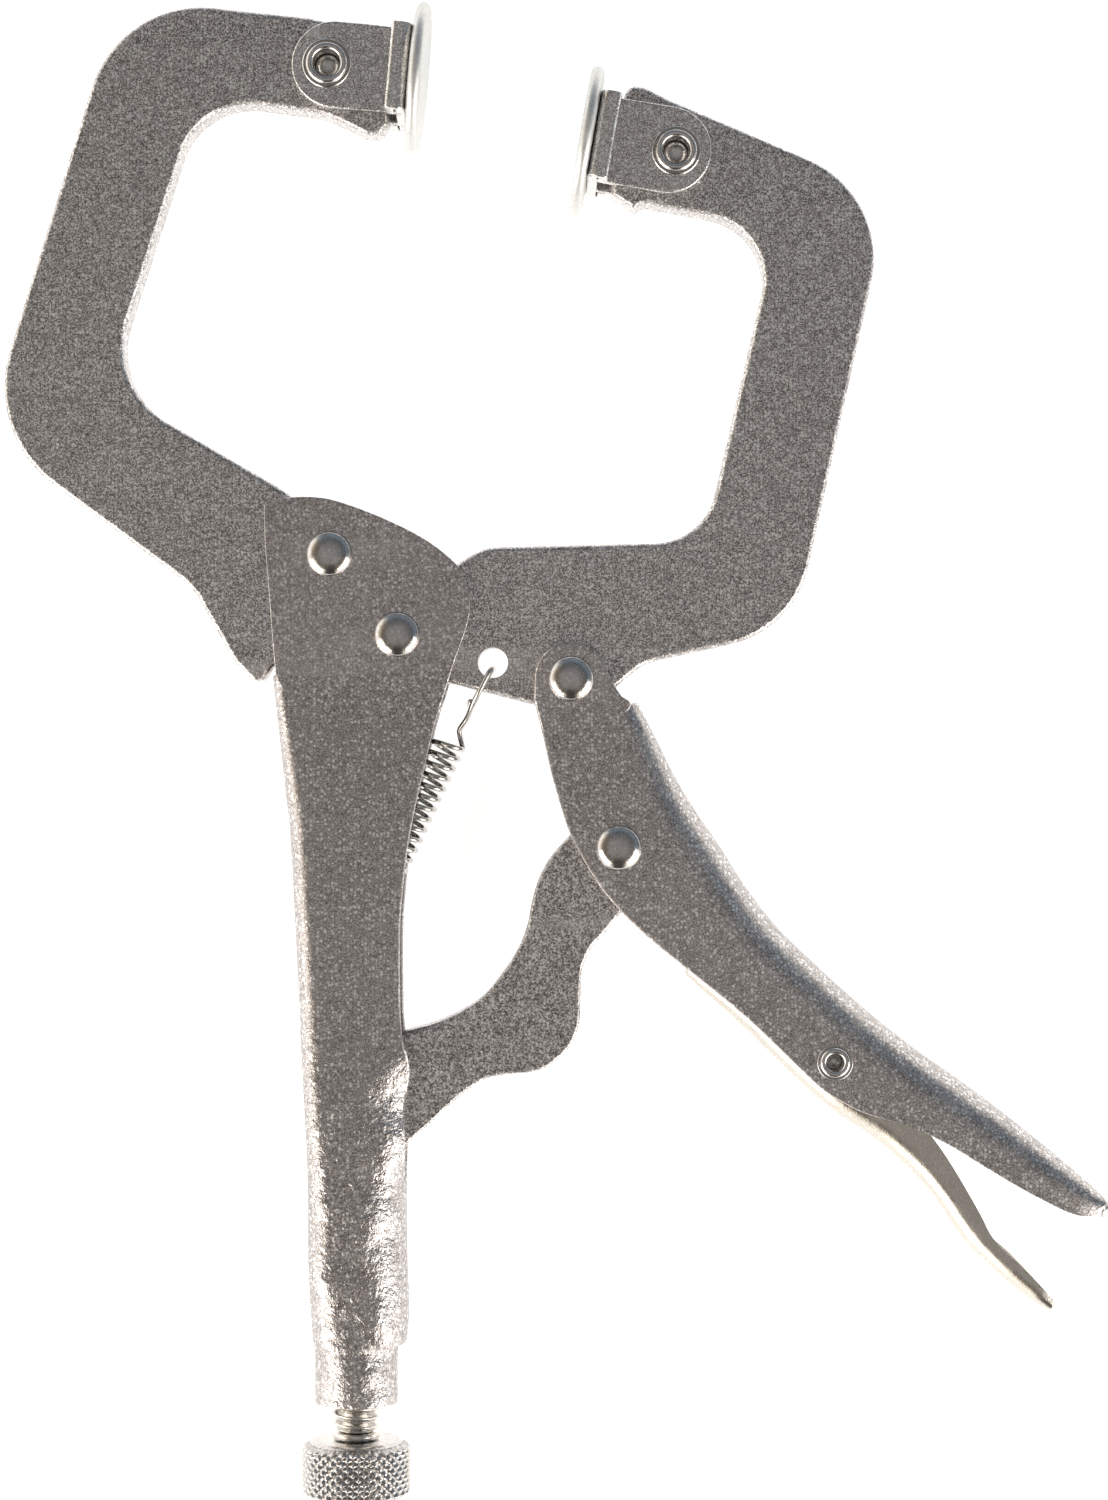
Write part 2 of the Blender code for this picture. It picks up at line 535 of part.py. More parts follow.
h = KNOB_TOP - KNOB_BOT
knob = turned("knurled_knob", [
    (0, -h + 1.6), (2.8, -h + 1.6), (2.8, 0), (KNOB_R - 1.2, 0), (KNOB_R, -0.9),
    (KNOB_R, -h + 0.9), (KNOB_R - 1.0, -h), (0, -h)], (SCREW_X, KNOB_TOP, MID_Z), steps=32)
knob.rotation_euler = (-math.pi / 2, 0, 0)
finish(knob, nickel("knurled_knob", 0.6, 0.28))

# ---------------------------------------------------------------- return spring and its anchor
ANCHOR = (-31.3, -29.0)
pin_half = 6.8 - SHEET - 0.2
pin = turned("spring_anchor_pin", [(0, pin_half), (1.2, pin_half), (1.2, -pin_half), (0, -pin_half)],
             (*ANCHOR, MID_Z), steps=14)
finish(pin, nickel("spring_anchor_pin", 0.55, 0.3))

WIRE_R, COIL_R, TURNS, PER_TURN = 0.4, 2.45, 15, 8


def spring_path():
    """Hook through the moving arm, close-wound body, hook round the anchor pin."""
    top, foot = Vector((-17.3, 1.2)), Vector((-29.0, -24.0))
    axis = (foot - top).normalized()
    side = Vector((-axis.y, axis.x))
    if side.x < 0:
        side = -side
    points = [(-9.3, 11.9, MID_Z - 4.6), (-9.6, 12.9, MID_Z - 4.5), (-10.0, 13.5, MID_Z - 3.4),
              (-10.15, 13.6, MID_Z), (-10.2, 13.5, MID_Z + 3.4), (-10.9, 12.7, MID_Z + 4.6),
              (-12.4, 10.9, MID_Z + 4.7), (-13.9, 9.0, MID_Z + 3.6), (-14.6, 7.6, MID_Z + 1.6),
              (-15.4, 5.0, MID_Z + 0.6)]
    n = TURNS * PER_TURN
    for i in range(n + 1):
        a = 2 * math.pi * i / PER_TURN
        p = top + (foot - top) * (i / n) + side * (COIL_R * math.cos(a))
        points.append((p.x, p.y, MID_Z + COIL_R * math.sin(a)))
    c = Vector(ANCHOR)
    ring = 1.2 + WIRE_R + 0.25
    points.append((foot.x - 0.2, foot.y - 1.2, MID_Z + 1.0))
    start = 60
    for j in range(8):
        a = math.radians(start - j * 38)
        points.append((c.x + ring * math.cos(a), c.y + ring * math.sin(a), MID_Z - 0.12 * j))
    return points


curve = bpy.data.curves.new("return_spring", "CURVE")
curve.dimensions = "3D"
curve.bevel_depth, curve.bevel_resolution, curve.use_fill_caps = WIRE_R * MM, 1, True
path = spring_path()
spline = curve.splines.new("POLY")
spline.points.add(len(path) - 1)
for q, s in zip(path, spline.points):
    s.co = (*world(*q), 1)
spring = bpy.data.objects.new("return_spring", curve)
parts.objects.link(spring)
curve.materials.append(nickel("return_spring", 0.6, 0.22))
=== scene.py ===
"""Looks of the locking C clamp: fine sheet-metal pieces, thread, knurl and spring over the
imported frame, satin nickel materials, a pale floor and soft studio light."""

import math

import bmesh
import bpy
import numpy as np
from mathutils import Matrix, Vector

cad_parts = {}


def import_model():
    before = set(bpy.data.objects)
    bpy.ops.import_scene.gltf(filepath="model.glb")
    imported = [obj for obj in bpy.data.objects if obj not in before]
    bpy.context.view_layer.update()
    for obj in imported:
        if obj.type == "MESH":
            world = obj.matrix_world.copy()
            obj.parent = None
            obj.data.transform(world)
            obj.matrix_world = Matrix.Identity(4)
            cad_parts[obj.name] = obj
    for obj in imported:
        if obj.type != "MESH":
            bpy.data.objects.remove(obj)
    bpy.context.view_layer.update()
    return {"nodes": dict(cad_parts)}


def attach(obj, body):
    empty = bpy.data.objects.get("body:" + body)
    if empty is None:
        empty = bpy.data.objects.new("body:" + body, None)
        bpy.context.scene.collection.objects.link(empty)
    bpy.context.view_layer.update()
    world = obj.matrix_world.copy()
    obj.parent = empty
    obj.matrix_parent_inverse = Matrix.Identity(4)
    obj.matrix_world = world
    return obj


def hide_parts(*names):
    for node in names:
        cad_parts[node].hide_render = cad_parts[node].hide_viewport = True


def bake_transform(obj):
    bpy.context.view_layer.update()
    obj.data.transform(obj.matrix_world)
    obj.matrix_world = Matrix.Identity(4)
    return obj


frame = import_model()

MM = 0.001
CX, CY = 0.32, 0.0
MID = 12.5
A, B, C = (-36.8, 32.1), (-25.7, 18.9), (2.8, 11.7)
D, E, F = (10.6, -16.0), (45.9, -51.05), (-32.7, -71.2)
PAD_L, PAD_R, TILT_L, TILT_R = (-37.2, 112.4), (20.0, 98.1), -5.4, 170.3
SCREW_X = -32.7


def world(x, y, z):
    return Vector(((x - CX) * MM, (y - CY) * MM, z * MM))


# ---------------------------------------------------------------- materials
def nodes_for(name):
    m = bpy.data.materials.new(name)
    m.use_nodes = True
    t = m.node_tree
    t.nodes.clear()
    out = t.nodes.new("ShaderNodeOutputMaterial")
    b = t.nodes.new("ShaderNodeBsdfPrincipled")
    t.links.new(b.outputs["BSDF"], out.inputs["Surface"])
    return m, t, b


def noise(t, coord, scale, detail=2.0, rough=0.5, dims="3D"):
    n = t.nodes.new("ShaderNodeTexNoise")
    n.noise_dimensions = dims
    n.inputs["Scale"].default_value = scale
    n.inputs["Detail"].default_value = detail
    n.inputs["Roughness"].default_value = rough
    t.links.new(coord, n.inputs["Vector"])
    return n


def ramp(t, source, stops, interpolation="LINEAR"):
    r = t.nodes.new("ShaderNodeValToRGB")
    r.color_ramp.interpolation = interpolation
    e = r.color_ramp.elements
    while len(e) < len(stops):
        e.new(0.5)
    for k, (p, c) in enumerate(stops):
        e[k].position = p
        e[k].color = (*c, 1) if isinstance(c, tuple) else (c, c, c, 1)
    t.links.new(source, r.inputs["Fac"])
    return r


def mix(t, a, b, fac, mode="MIX"):
    m = t.nodes.new("ShaderNodeMix")
    m.data_type, m.blend_type = "RGBA", mode
    for s, v in ((m.inputs["Factor"], fac), (m.inputs[6], a), (m.inputs[7], b)):
        if isinstance(v, (int, float)):
            s.default_value = v
        elif isinstance(v, tuple):
            s.default_value = (*v, 1)
        else:
            t.links.new(v, s)
    return m.outputs[2]


def nickel(name, colour=(0.60, 0.57, 0.545), rough=(0.30, 0.44), grain=1.0, bump=1.0, wear=0.5,
           crinkle=0.0):
    """Satin nickel plate over grained steel: a fine pitted grain that glitters, faint cloudy
    patches in colour and gloss, brighter plate along the rubbed edges and, with crinkle, the
    uneven surface that pressing leaves round the closed lower end of the handle."""
    m, t, b = nodes_for(name)
    tc = t.nodes.new("ShaderNodeTexCoord")
    obj = tc.outputs["Object"]
    fine = noise(t, obj, 4300, 1.0, 0.5)
    spark = t.nodes.new("ShaderNodeTexVoronoi")
    spark.inputs["Scale"].default_value = 1650
    t.links.new(obj, spark.inputs["Vector"])
    pits = noise(t, obj, 1300, 2.0, 0.6)
    cloud = noise(t, obj, 38, 3.0, 0.5)
    haze = noise(t, obj, 300, 3.0, 0.6)
    c0 = ramp(t, cloud.outputs["Fac"], [(0.3, tuple(0.965 * k for k in colour)),
                                        (0.7, tuple(1.03 * k for k in colour))])
    g = ramp(t, fine.outputs["Fac"], [(0.38, max(0.3, 1 - 0.46 * grain)), (0.50, 1 - 0.14 * grain),
                                      (0.62, 1 + 0.42 * grain)])
    c1 = mix(t, c0.outputs["Color"], g.outputs["Color"], 1.0, "MULTIPLY")
    p = ramp(t, pits.outputs["Fac"], [(0.36, 0.62), (0.50, 1.0)])
    c2 = mix(t, c1, p.outputs["Color"], 0.6 * grain, "MULTIPLY")
    pick = t.nodes.new("ShaderNodeSeparateColor")
    t.links.new(spark.outputs["Color"], pick.inputs["Color"])
    dot = ramp(t, spark.outputs["Distance"], [(0.30, min(1.0, 0.95 * grain)), (0.50, 0.0)])
    lit = ramp(t, pick.outputs[0], [(0.46, 0.0), (0.72, 1.0)])
    k = t.nodes.new("ShaderNodeMath")
    k.operation = "MULTIPLY"
    t.links.new(dot.outputs["Color"], k.inputs[0])
    t.links.new(lit.outputs["Color"], k.inputs[1])
    c2 = mix(t, c2, (1.0, 0.985, 0.97), k.outputs[0])
    geo = t.nodes.new("ShaderNodeNewGeometry")
    edge = ramp(t, geo.outputs["Pointiness"], [(0.50, 0.0), (0.56, 1.0)])
    edge_mask = t.nodes.new("ShaderNodeMath")
    edge_mask.operation = "MULTIPLY"
    edge_mask.inputs[1].default_value = wear
    t.links.new(edge.outputs["Color"], edge_mask.inputs[0])
    bright = tuple(min(1.0, k * 1.4) for k in colour)
    c3 = mix(t, c2, bright, edge_mask.outputs[0])
    t.links.new(c3, b.inputs["Base Color"])
    b.inputs["Metallic"].default_value = 1.0
    r = ramp(t, haze.outputs["Fac"], [(0.35, rough[0]), (0.65, rough[1])])
    t.links.new(r.outputs["Color"], b.inputs["Roughness"])
    both = t.nodes.new("ShaderNodeMath")
    both.operation = "ADD"
    t.links.new(fine.outputs["Fac"], both.inputs[0])
    t.links.new(pits.outputs["Fac"], both.inputs[1])
    bm = t.nodes.new("ShaderNodeBump")
    bm.inputs["Strength"].default_value = min(1.0, 0.55 * bump)
    bm.inputs["Distance"].default_value = 0.00008
    t.links.new(both.outputs[0], bm.inputs["Height"])
    if crinkle:
        sep = t.nodes.new("ShaderNodeSeparateXYZ")
        t.links.new(obj, sep.inputs[0])
        low = t.nodes.new("ShaderNodeMapRange")
        low.interpolation_type = "SMOOTHSTEP"
        low.inputs["From Min"].default_value, low.inputs["From Max"].default_value = -0.035, -0.062
        t.links.new(sep.outputs["Y"], low.inputs["Value"])
        wave = noise(t, obj, 420, 3.0, 0.65)
        broad = noise(t, obj, 115, 1.0, 0.5)
        dents = t.nodes.new("ShaderNodeMath")
        dents.operation = "MULTIPLY_ADD"
        dents.inputs[1].default_value = 3.0
        t.links.new(broad.outputs["Fac"], dents.inputs[0])
        t.links.new(wave.outputs["Fac"], dents.inputs[2])
        h = t.nodes.new("ShaderNodeMath")
        h.operation = "MULTIPLY"
        t.links.new(dents.outputs[0], h.inputs[0])
        t.links.new(low.outputs["Result"], h.inputs[1])
        bm2 = t.nodes.new("ShaderNodeBump")
        bm2.inputs["Strength"].default_value = 1.0
        bm2.inputs["Distance"].default_value = 0.0005 * crinkle
        t.links.new(h.outputs[0], bm2.inputs["Height"])
        t.links.new(bm2.outputs["Normal"], bm.inputs["Normal"])
    t.links.new(bm.outputs["Normal"], b.inputs["Normal"])
    return m


def polished(name, colour=(0.72, 0.70, 0.68), rough=(0.10, 0.2), bump=0.4):
    """Bright plate on headed rivets, wire and turned pieces: faint haze and tiny pits."""
    return nickel(name, colour, rough, grain=0.25, bump=bump, wear=0.2)


# ---------------------------------------------------------------- outline helpers
def rounded(corners, step=5.0):
    out, n = [], len(corners)
    for i in range(n):
        p = Vector(corners[i][:2])
        r = corners[i][2] if len(corners[i]) > 2 else 0.0
        a, b = Vector(corners[i - 1][:2]) - p, Vector(corners[(i + 1) % n][:2]) - p
        if r <= 0 or a.length < 1e-6 or b.length < 1e-6:
            out.append(p)
            continue
        u, v = a.normalized(), b.normalized()
        inside = math.acos(max(-1, min(1, u.dot(v))))
        if math.pi - inside < 0.02:
            out.append(p)
            continue
        t = min(r / math.tan(inside / 2), 0.49 * a.length, 0.49 * b.length)
        r = t * math.tan(inside / 2)
        centre = p + (u + v).normalized() * (r / math.sin(inside / 2))
        s, e = p + u * t - centre, p + v * t - centre
        sweep = s.angle_signed(e) * -1
        k = max(2, math.ceil(abs(math.degrees(sweep)) / step))
        for j in range(k + 1):
            out.append(centre + Matrix.Rotation(sweep * j / k, 2) @ s)
    return [(q.x, q.y) for q in out]


def arc(c, r, a0, a1, step=5.0):
    k = max(1, math.ceil(abs(a1 - a0) / step))
    return [(c[0] + r * math.cos(math.radians(a0 + (a1 - a0) * j / k)),
             c[1] + r * math.sin(math.radians(a0 + (a1 - a0) * j / k))) for j in range(k + 1)]


def circle(c, r, sides=48):
    return arc(c, r, 0, 360, 360 / sides)[:-1]


def smooth(points, per=6):
    p = [np.array(q, float) for q in points]
    p = [2 * p[0] - p[1]] + p + [2 * p[-1] - p[-2]]
    out = []
    for i in range(1, len(p) - 2):
        for j in range(per):
            t = j / per
            out.append(0.5 * ((2 * p[i]) + (p[i + 1] - p[i - 1]) * t
                              + (2 * p[i - 1] - 5 * p[i] + 4 * p[i + 1] - p[i + 2]) * t * t
                              + (3 * p[i] - p[i - 1] - 3 * p[i + 1] + p[i + 2]) * t ** 3))
    out.append(p[-2])
    return [tuple(q) for q in out]


def hermite(x, y, xq):
    """Monotone cubic through rows y at x: no overshoot where a section steps."""
    x, y, xq = np.asarray(x, float), np.asarray(y, float), np.asarray(xq, float)
    h = np.diff(x)[:, None]
    d = np.diff(y, axis=0) / h
    m = np.zeros_like(y)
    m[0], m[-1] = d[0], d[-1]
    same = d[:-1] * d[1:] > 0
    m[1:-1] = np.where(same, 2 * d[:-1] * d[1:] / np.where(same, d[:-1] + d[1:], 1), 0)
    k = np.clip(np.searchsorted(x, xq, side="right") - 1, 0, len(x) - 2)
    t = ((xq - x[k]) / (x[k + 1] - x[k]))[:, None]
    hk = (x[k + 1] - x[k])[:, None]
    return ((2 * t**3 - 3 * t**2 + 1) * y[k] + (t**3 - 2 * t**2 + t) * hk * m[k]
            + (-2 * t**3 + 3 * t**2) * y[k + 1] + (t**3 - t**2) * hk * m[k + 1])


# ---------------------------------------------------------------- mesh helpers
def as_object(name, mesh):
    o = bpy.data.objects.new(name, mesh)
    bpy.context.scene.collection.objects.link(o)
    return o


def clean(mesh, weld=1e-6):
    bm = bmesh.new()
    bm.from_mesh(mesh)
    bmesh.ops.remove_doubles(bm, verts=bm.verts, dist=weld)
    bmesh.ops.recalc_face_normals(bm, faces=bm.faces)
    bm.to_mesh(mesh)
    bm.free()
    return mesh


def plate(name, loops, z0, z1, edge, res=4, matrix=None, rest=True):
    """Blanked plate from its outline and hole outlines, with rounded edges."""
    curve = bpy.data.curves.new(name, "CURVE")
    curve.dimensions, curve.fill_mode = "2D", "BOTH"
    curve.extrude = ((z1 - z0) / 2 - edge) * MM
    curve.bevel_depth, curve.bevel_resolution, curve.offset = edge * MM, res, -edge * MM
    for loop in loops:
        s = curve.splines.new("POLY")
        s.points.add(len(loop) - 1)
        for q, p in zip(loop, s.points):
            p.co = (q[0] * MM, q[1] * MM, 0, 1)
        s.use_cyclic_u = True
    o = as_object(name + "_curve", curve)
    o.matrix_world = Matrix.Translation((0, 0, (z0 + z1) / 2 * MM))
    bpy.context.view_layer.update()
    mesh = bpy.data.meshes.new_from_object(
        o.evaluated_get(bpy.context.evaluated_depsgraph_get()))
    mesh.transform(o.matrix_world)
    bpy.data.objects.remove(o)
    mesh.transform(Matrix.Translation((-CX * MM, -CY * MM, 0)) @ (matrix or Matrix.Identity(4)))
    return as_object(name, clean(mesh))


def join(base, tool, operation="UNION"):
    m = base.modifiers.new("join", "BOOLEAN")
    m.operation, m.solver, m.object = operation, "EXACT", tool
    bpy.context.view_layer.update()
    mesh = bpy.data.meshes.new_from_object(
        base.evaluated_get(bpy.context.evaluated_depsgraph_get()))
    base.modifiers.clear()
    old = base.data
    base.data = mesh
    bpy.data.meshes.remove(old)
    bpy.data.objects.remove(tool)
    return base


def rod(x, y, r, z0=-20, z1=50, sides=48, matrix=None):
    bm = bmesh.new()
    m = matrix if matrix is not None else Matrix.Translation(world(x, y, (z0 + z1) / 2))
    bmesh.ops.create_cone(bm, cap_ends=True, segments=sides, radius1=r * MM, radius2=r * MM,
                          depth=(z1 - z0) * MM, matrix=m)
    mesh = bpy.data.meshes.new("rod")
    bm.to_mesh(mesh)
    bm.free()
    return as_object("rod", mesh)


def put(obj, body, nodes, mat, angle=32, weighted=True):
    obj.data.materials.clear()
    obj.data.materials.append(mat)
    obj.data.shade_smooth()
    obj.data.set_sharp_from_angle(angle=math.radians(angle))
    if weighted:
        w = obj.modifiers.new("normals", "WEIGHTED_NORMAL")
        w.keep_sharp, w.weight = True, 50
    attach(obj, body)
    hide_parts(*nodes)
    return obj


def grid_mesh(name, rows, caps=True, closed=True):
    """Tube of rings, each a list of points in the drawing frame (mm)."""
    bm = bmesh.new()
    vr = [[bm.verts.new(world(*p)) for p in r] for r in rows]
    n = len(vr[0])
    for a, b in zip(vr, vr[1:]):
        for i in range(n):
            k = (i + 1) % n
            bm.faces.new((a[i], a[k], b[k], b[i]))
    if caps == "fan":
        bm.faces.new(vr[0])
        bm.faces.new(vr[-1])
    elif caps == "sheet":
        for r in (vr[0], vr[-1]):
            for i in range(n // 2 - 1):
                bm.faces.new((r[i], r[i + 1], r[n - 2 - i], r[n - 1 - i]))
    bmesh.ops.recalc_face_normals(bm, faces=bm.faces)
    mesh = bpy.data.meshes.new(name)
    bm.to_mesh(mesh)
    bm.free()
    return as_object(name, mesh)


# ---------------------------------------------------------------- folded sheet channels
def skin(depth, half, bend, close, slot=0.35):
    roll = half - slot
    bend = min(bend, half - 0.2, 0.75 * depth)
    flat = min(roll, 0.6 * (depth - bend))
    back = []
    for j in range(11):
        a = math.radians(9 * j)
        r = (depth - roll + roll * math.cos(a), -(half - roll) - roll * math.sin(a))
        s = (depth - flat * j / 10, -half)
        back.append((close * r[0] + (1 - close) * s[0], close * r[1] + (1 - close) * s[1]))
    x0, x1 = back[-1][0], bend
    back += [(x0 + (x1 - x0) * j / 5, -half) for j in range(1, 5)]
    for j in range(11):
        a = math.radians(9 * j)
        back.append((bend - bend * math.sin(a), -half + bend - bend * math.cos(a)))
    return np.array(back + [(0.0, 0.0)] + [(x, -z) for x, z in reversed(back)])


def ring_of(depth, half, bend, close, t, rim):
    """Closed outline of the sheet's section with rounded free edges, symmetric so that
    point i faces point n-1-i across the sheet."""
    o = skin(depth, half, bend, close)
    d = np.diff(o, axis=0)
    d /= np.linalg.norm(d, axis=1)[:, None]
    tan = np.vstack([d[:1], d[:-1] + d[1:], d[-1:]])
    tan /= np.linalg.norm(tan, axis=1)[:, None]
    near = np.vstack([d[:1], d])
    scale = t / np.maximum(0.5, (tan * near).sum(axis=1))
    q = o + np.column_stack([tan[:, 1], -tan[:, 0]]) * scale[:, None]

    def corner(p, a, b):
        """Quarter round at p, from the side of a to the side of b."""
        ra = min(rim, 0.8 * np.linalg.norm(a - p), 0.45 * t)
        rb = min(rim, 0.8 * np.linalg.norm(b - p), 0.45 * t)
        pa, pb = p + (a - p) / np.linalg.norm(a - p) * ra, p + (b - p) / np.linalg.norm(b - p) * rb
        return [(1 - s) ** 2 * pa + 2 * s * (1 - s) * p + s * s * pb for s in (0, 0.33, 0.67, 1)]

    ring = corner(o[0], q[0], o[1]) + list(o[1:-1]) + corner(o[-1], o[-2], q[-1])
    ring += corner(q[-1], o[-1], q[-2]) + list(q[1:-1][::-1]) + corner(q[0], q[1], o[0])
    return np.array(ring)


def channel(name, rows, t, rim=0.35, end=0.3):
    """rows: spine x, y, edge x, y, half width, bend radius, close."""
    rings = []
    for sx, sy, ex, ey, half, bend, close in rows:
        s, e = np.array((sx, sy)), np.array((ex, ey))
        depth = np.linalg.norm(e - s)
        run = (e - s) / depth
        xz = ring_of(depth, half, bend, min(1, max(0, close)), t, rim)
        rings.append(np.column_stack([s + run * xz[:, :1], MID + xz[:, 1]]))

    def rounded_end(r, inner):
        along = (r.mean(axis=0) - inner.mean(axis=0))
        along[2] = 0
        along /= np.linalg.norm(along)
        mid = (r + r[::-1]) / 2
        half = np.maximum(1e-6, np.linalg.norm(r - mid, axis=1))[:, None]
        out = []
        for a in (45, 90):
            shrink = end * (1 - math.cos(math.radians(a)))
            lift = end * math.sin(math.radians(a))
            out.append(mid + (r - mid) * np.maximum(0.02, 1 - shrink / half) + along * lift)
        return out

    a, b = rings[0], rings[-1]
    first = rounded_end(a, rings[1])
    last = rounded_end(b, rings[-2])
    return grid_mesh(name, [first[1], first[0]] + rings + last, caps="sheet")


# ---------------------------------------------------------------- C arms
arm_metal = nickel("satin_nickel_arms", (0.655, 0.615, 0.60), (0.26, 0.38), 1.5, 1.5, 0.35)
sheet_metal = nickel("satin_nickel_sheet", (0.57, 0.53, 0.51), (0.27, 0.38), 1.0, 0.9, 0.25)
handle_metal = nickel("satin_nickel_handle", (0.545, 0.505, 0.487), (0.26, 0.38), 0.95, 1.0, 0.3, 1.0)
link_metal = nickel("satin_nickel_link", (0.64, 0.60, 0.585), (0.26, 0.38), 1.6, 1.6, 0.3)
# release lever: the tan tint and the low grain are painted warm reflection and shade on its shaded cheek, not
# a different plate
release_painted_reflection_metal = nickel("nickel_release_painted_tan_reflection", (0.66, 0.615, 0.555), (0.22, 0.32), 0.22, 0.5, 0.2)
pad_metal = nickel("satin_nickel_pads", (0.75, 0.71, 0.69), (0.22, 0.32), 1.2, 1.1, 0.35)
# pad discs: near-white base colour is a painted bright reflection that lifts their faces to white
disc_painted_bright_metal = nickel("nickel_discs_painted_bright", (0.78, 0.78, 0.755), (0.42, 0.54), 0.2, 0.3, 0.1)
knob_metal = nickel("nickel_knob", (0.52, 0.495, 0.475), (0.18, 0.30), 0.5, 0.4, 1.0)
thread_metal = nickel("nickel_thread", (0.66, 0.63, 0.59), (0.18, 0.30), 0.5, 0.4, 0.6)
rivet_metal = polished("bright_rivets", (0.60, 0.575, 0.56), (0.10, 0.18), 0.3)
tube_metal = polished("bright_tube_rivets", (0.66, 0.64, 0.62), (0.12, 0.22))
wire_metal = polished("spring_wire", (0.62, 0.60, 0.57), (0.14, 0.24), 0.3)
inner_metal = nickel("inner_nickel", (0.5, 0.48, 0.45), (0.36, 0.5), 0.8, 0.8, 0.2)

Z0, Z1 = MID - 3.5, MID + 3.5
fixed_outline = rounded([
    (-27.9, 119.2, 2.0), (-26.0, 116.4, 2.0), (-26.4, 109.1, 1.5), (-27.2, 105.7, 1.0),
    (-27.3, 102.9, 1.0), (-28.6, 101.2, 1.6), (-31.0, 101.3, 2.0), (-34.7, 103.2, 5.0),
    (-38.1, 104.7, 8.0), (-58.3, 107.4, 12.1), (-73.6, 59.7, 14.1), (-43.9, 42.4, 2.0),
    (-42.2, 40.3, 2.0), (-37.6, 39.9, 3.0), (-33.2, 38.2, 3.0), (-27.6, 33.2, 2.0),
]) + arc(B, 9.2, 100, 205) + rounded([
    (-41.8, 13.5, 1.0), (-46.3, 14.1, 1.5), (-47.7, 11.4, 1.2), (-49.6, 11.3, 1.2),
    (-52.8, 14.8, 1.5), (-53.9, 16.8, 3.0), (-59.5, 26.8, 12.0), (-93.85, 52.1, 20.0),
    (-71.5, 123.8, 22.0), (-40.0, 120.4, 0.0),
])
put(plate("fixed_jaw_arm_plate", [fixed_outline, circle(A, 3.1), circle(PAD_L, 3.2)], Z0, Z1, 0.85),
    "frame_body", ["fixed_jaw_arm"], arm_metal)

moving_outline = rounded([
    (14.1, 90.1, 2.0), (36.7, 85.8, 12.8), (24.7, 34.2, 10.5), (-11.5, 33.3, 8.0),
    (-18.7, 28.9, 4.0), (-20.6, 27.3, 0.0),
]) + arc(B, 8.6, 70, 300) + rounded([
    (-19.5, 10.6, 1.0), (-17.1, 11.0, 1.0), (-3.1, 7.4, 2.0), (0.3, 6.2, 3.0),
    (6.2, 6.2, 3.0), (9.5, 9.8, 3.0), (15.0, 14.3, 8.0), (39.6, 19.7, 16.9),
    (55.5, 91.4, 17.8), (18.7, 107.1, 6.0), (15.0, 109.0, 1.5), (12.7, 109.3, 1.0),
    (11.8, 108.1, 0.8), (10.4, 104.5, 1.5), (9.0, 100.8, 3.0), (9.0, 96.2, 3.0),
    (9.7, 92.0, 2.5),
])
moving_arm = plate("moving_jaw_arm_plate",
                   [moving_outline, circle(B, 3.1), circle(C, 3.1), circle(PAD_R, 3.2)], Z0, Z1, 0.85)
join(moving_arm, rod(-10.04, 14.35, 2.5, sides=72), "DIFFERENCE")
put(moving_arm, "moving_jaw", ["moving_jaw_arm"], arm_metal)

# ---------------------------------------------------------------- toggle link
link_outline = arc(D, 6.0, 128, -48) + smooth([
    (11.9, -25.6), (8.6, -29.8), (6.1, -32.7), (4.6, -36.4), (4.4, -41.3), (4.1, -45.4),
    (2.6, -48.9), (-0.5, -51.7), (-3.5, -53.0), (-8.6, -53.5), (-12.0, -54.5), (-16.0, -57.4),
    (-20.1, -61.2), (-24.1, -64.8), (-28.4, -69.6)]) + arc(F, 3.2, -35, -185) + smooth([
        (-35.2, -64.0), (-33.2, -56.0), (-29.6, -49.4), (-24.35, -46.4), (-18.6, -44.6),
        (-12.5, -41.3), (-8.6, -36.9), (-5.9, -32.7), (-4.4, -28.8), (-3.7, -25.2),
        (-2.5, -21.2), (-0.5, -17.6), (2.6, -14.1)])
put(plate("toggle_link_plate", [link_outline, circle(D, 3.1)], MID - 3.2, MID + 3.2, 0.6),
    "link_body", ["toggle_link"], link_metal)

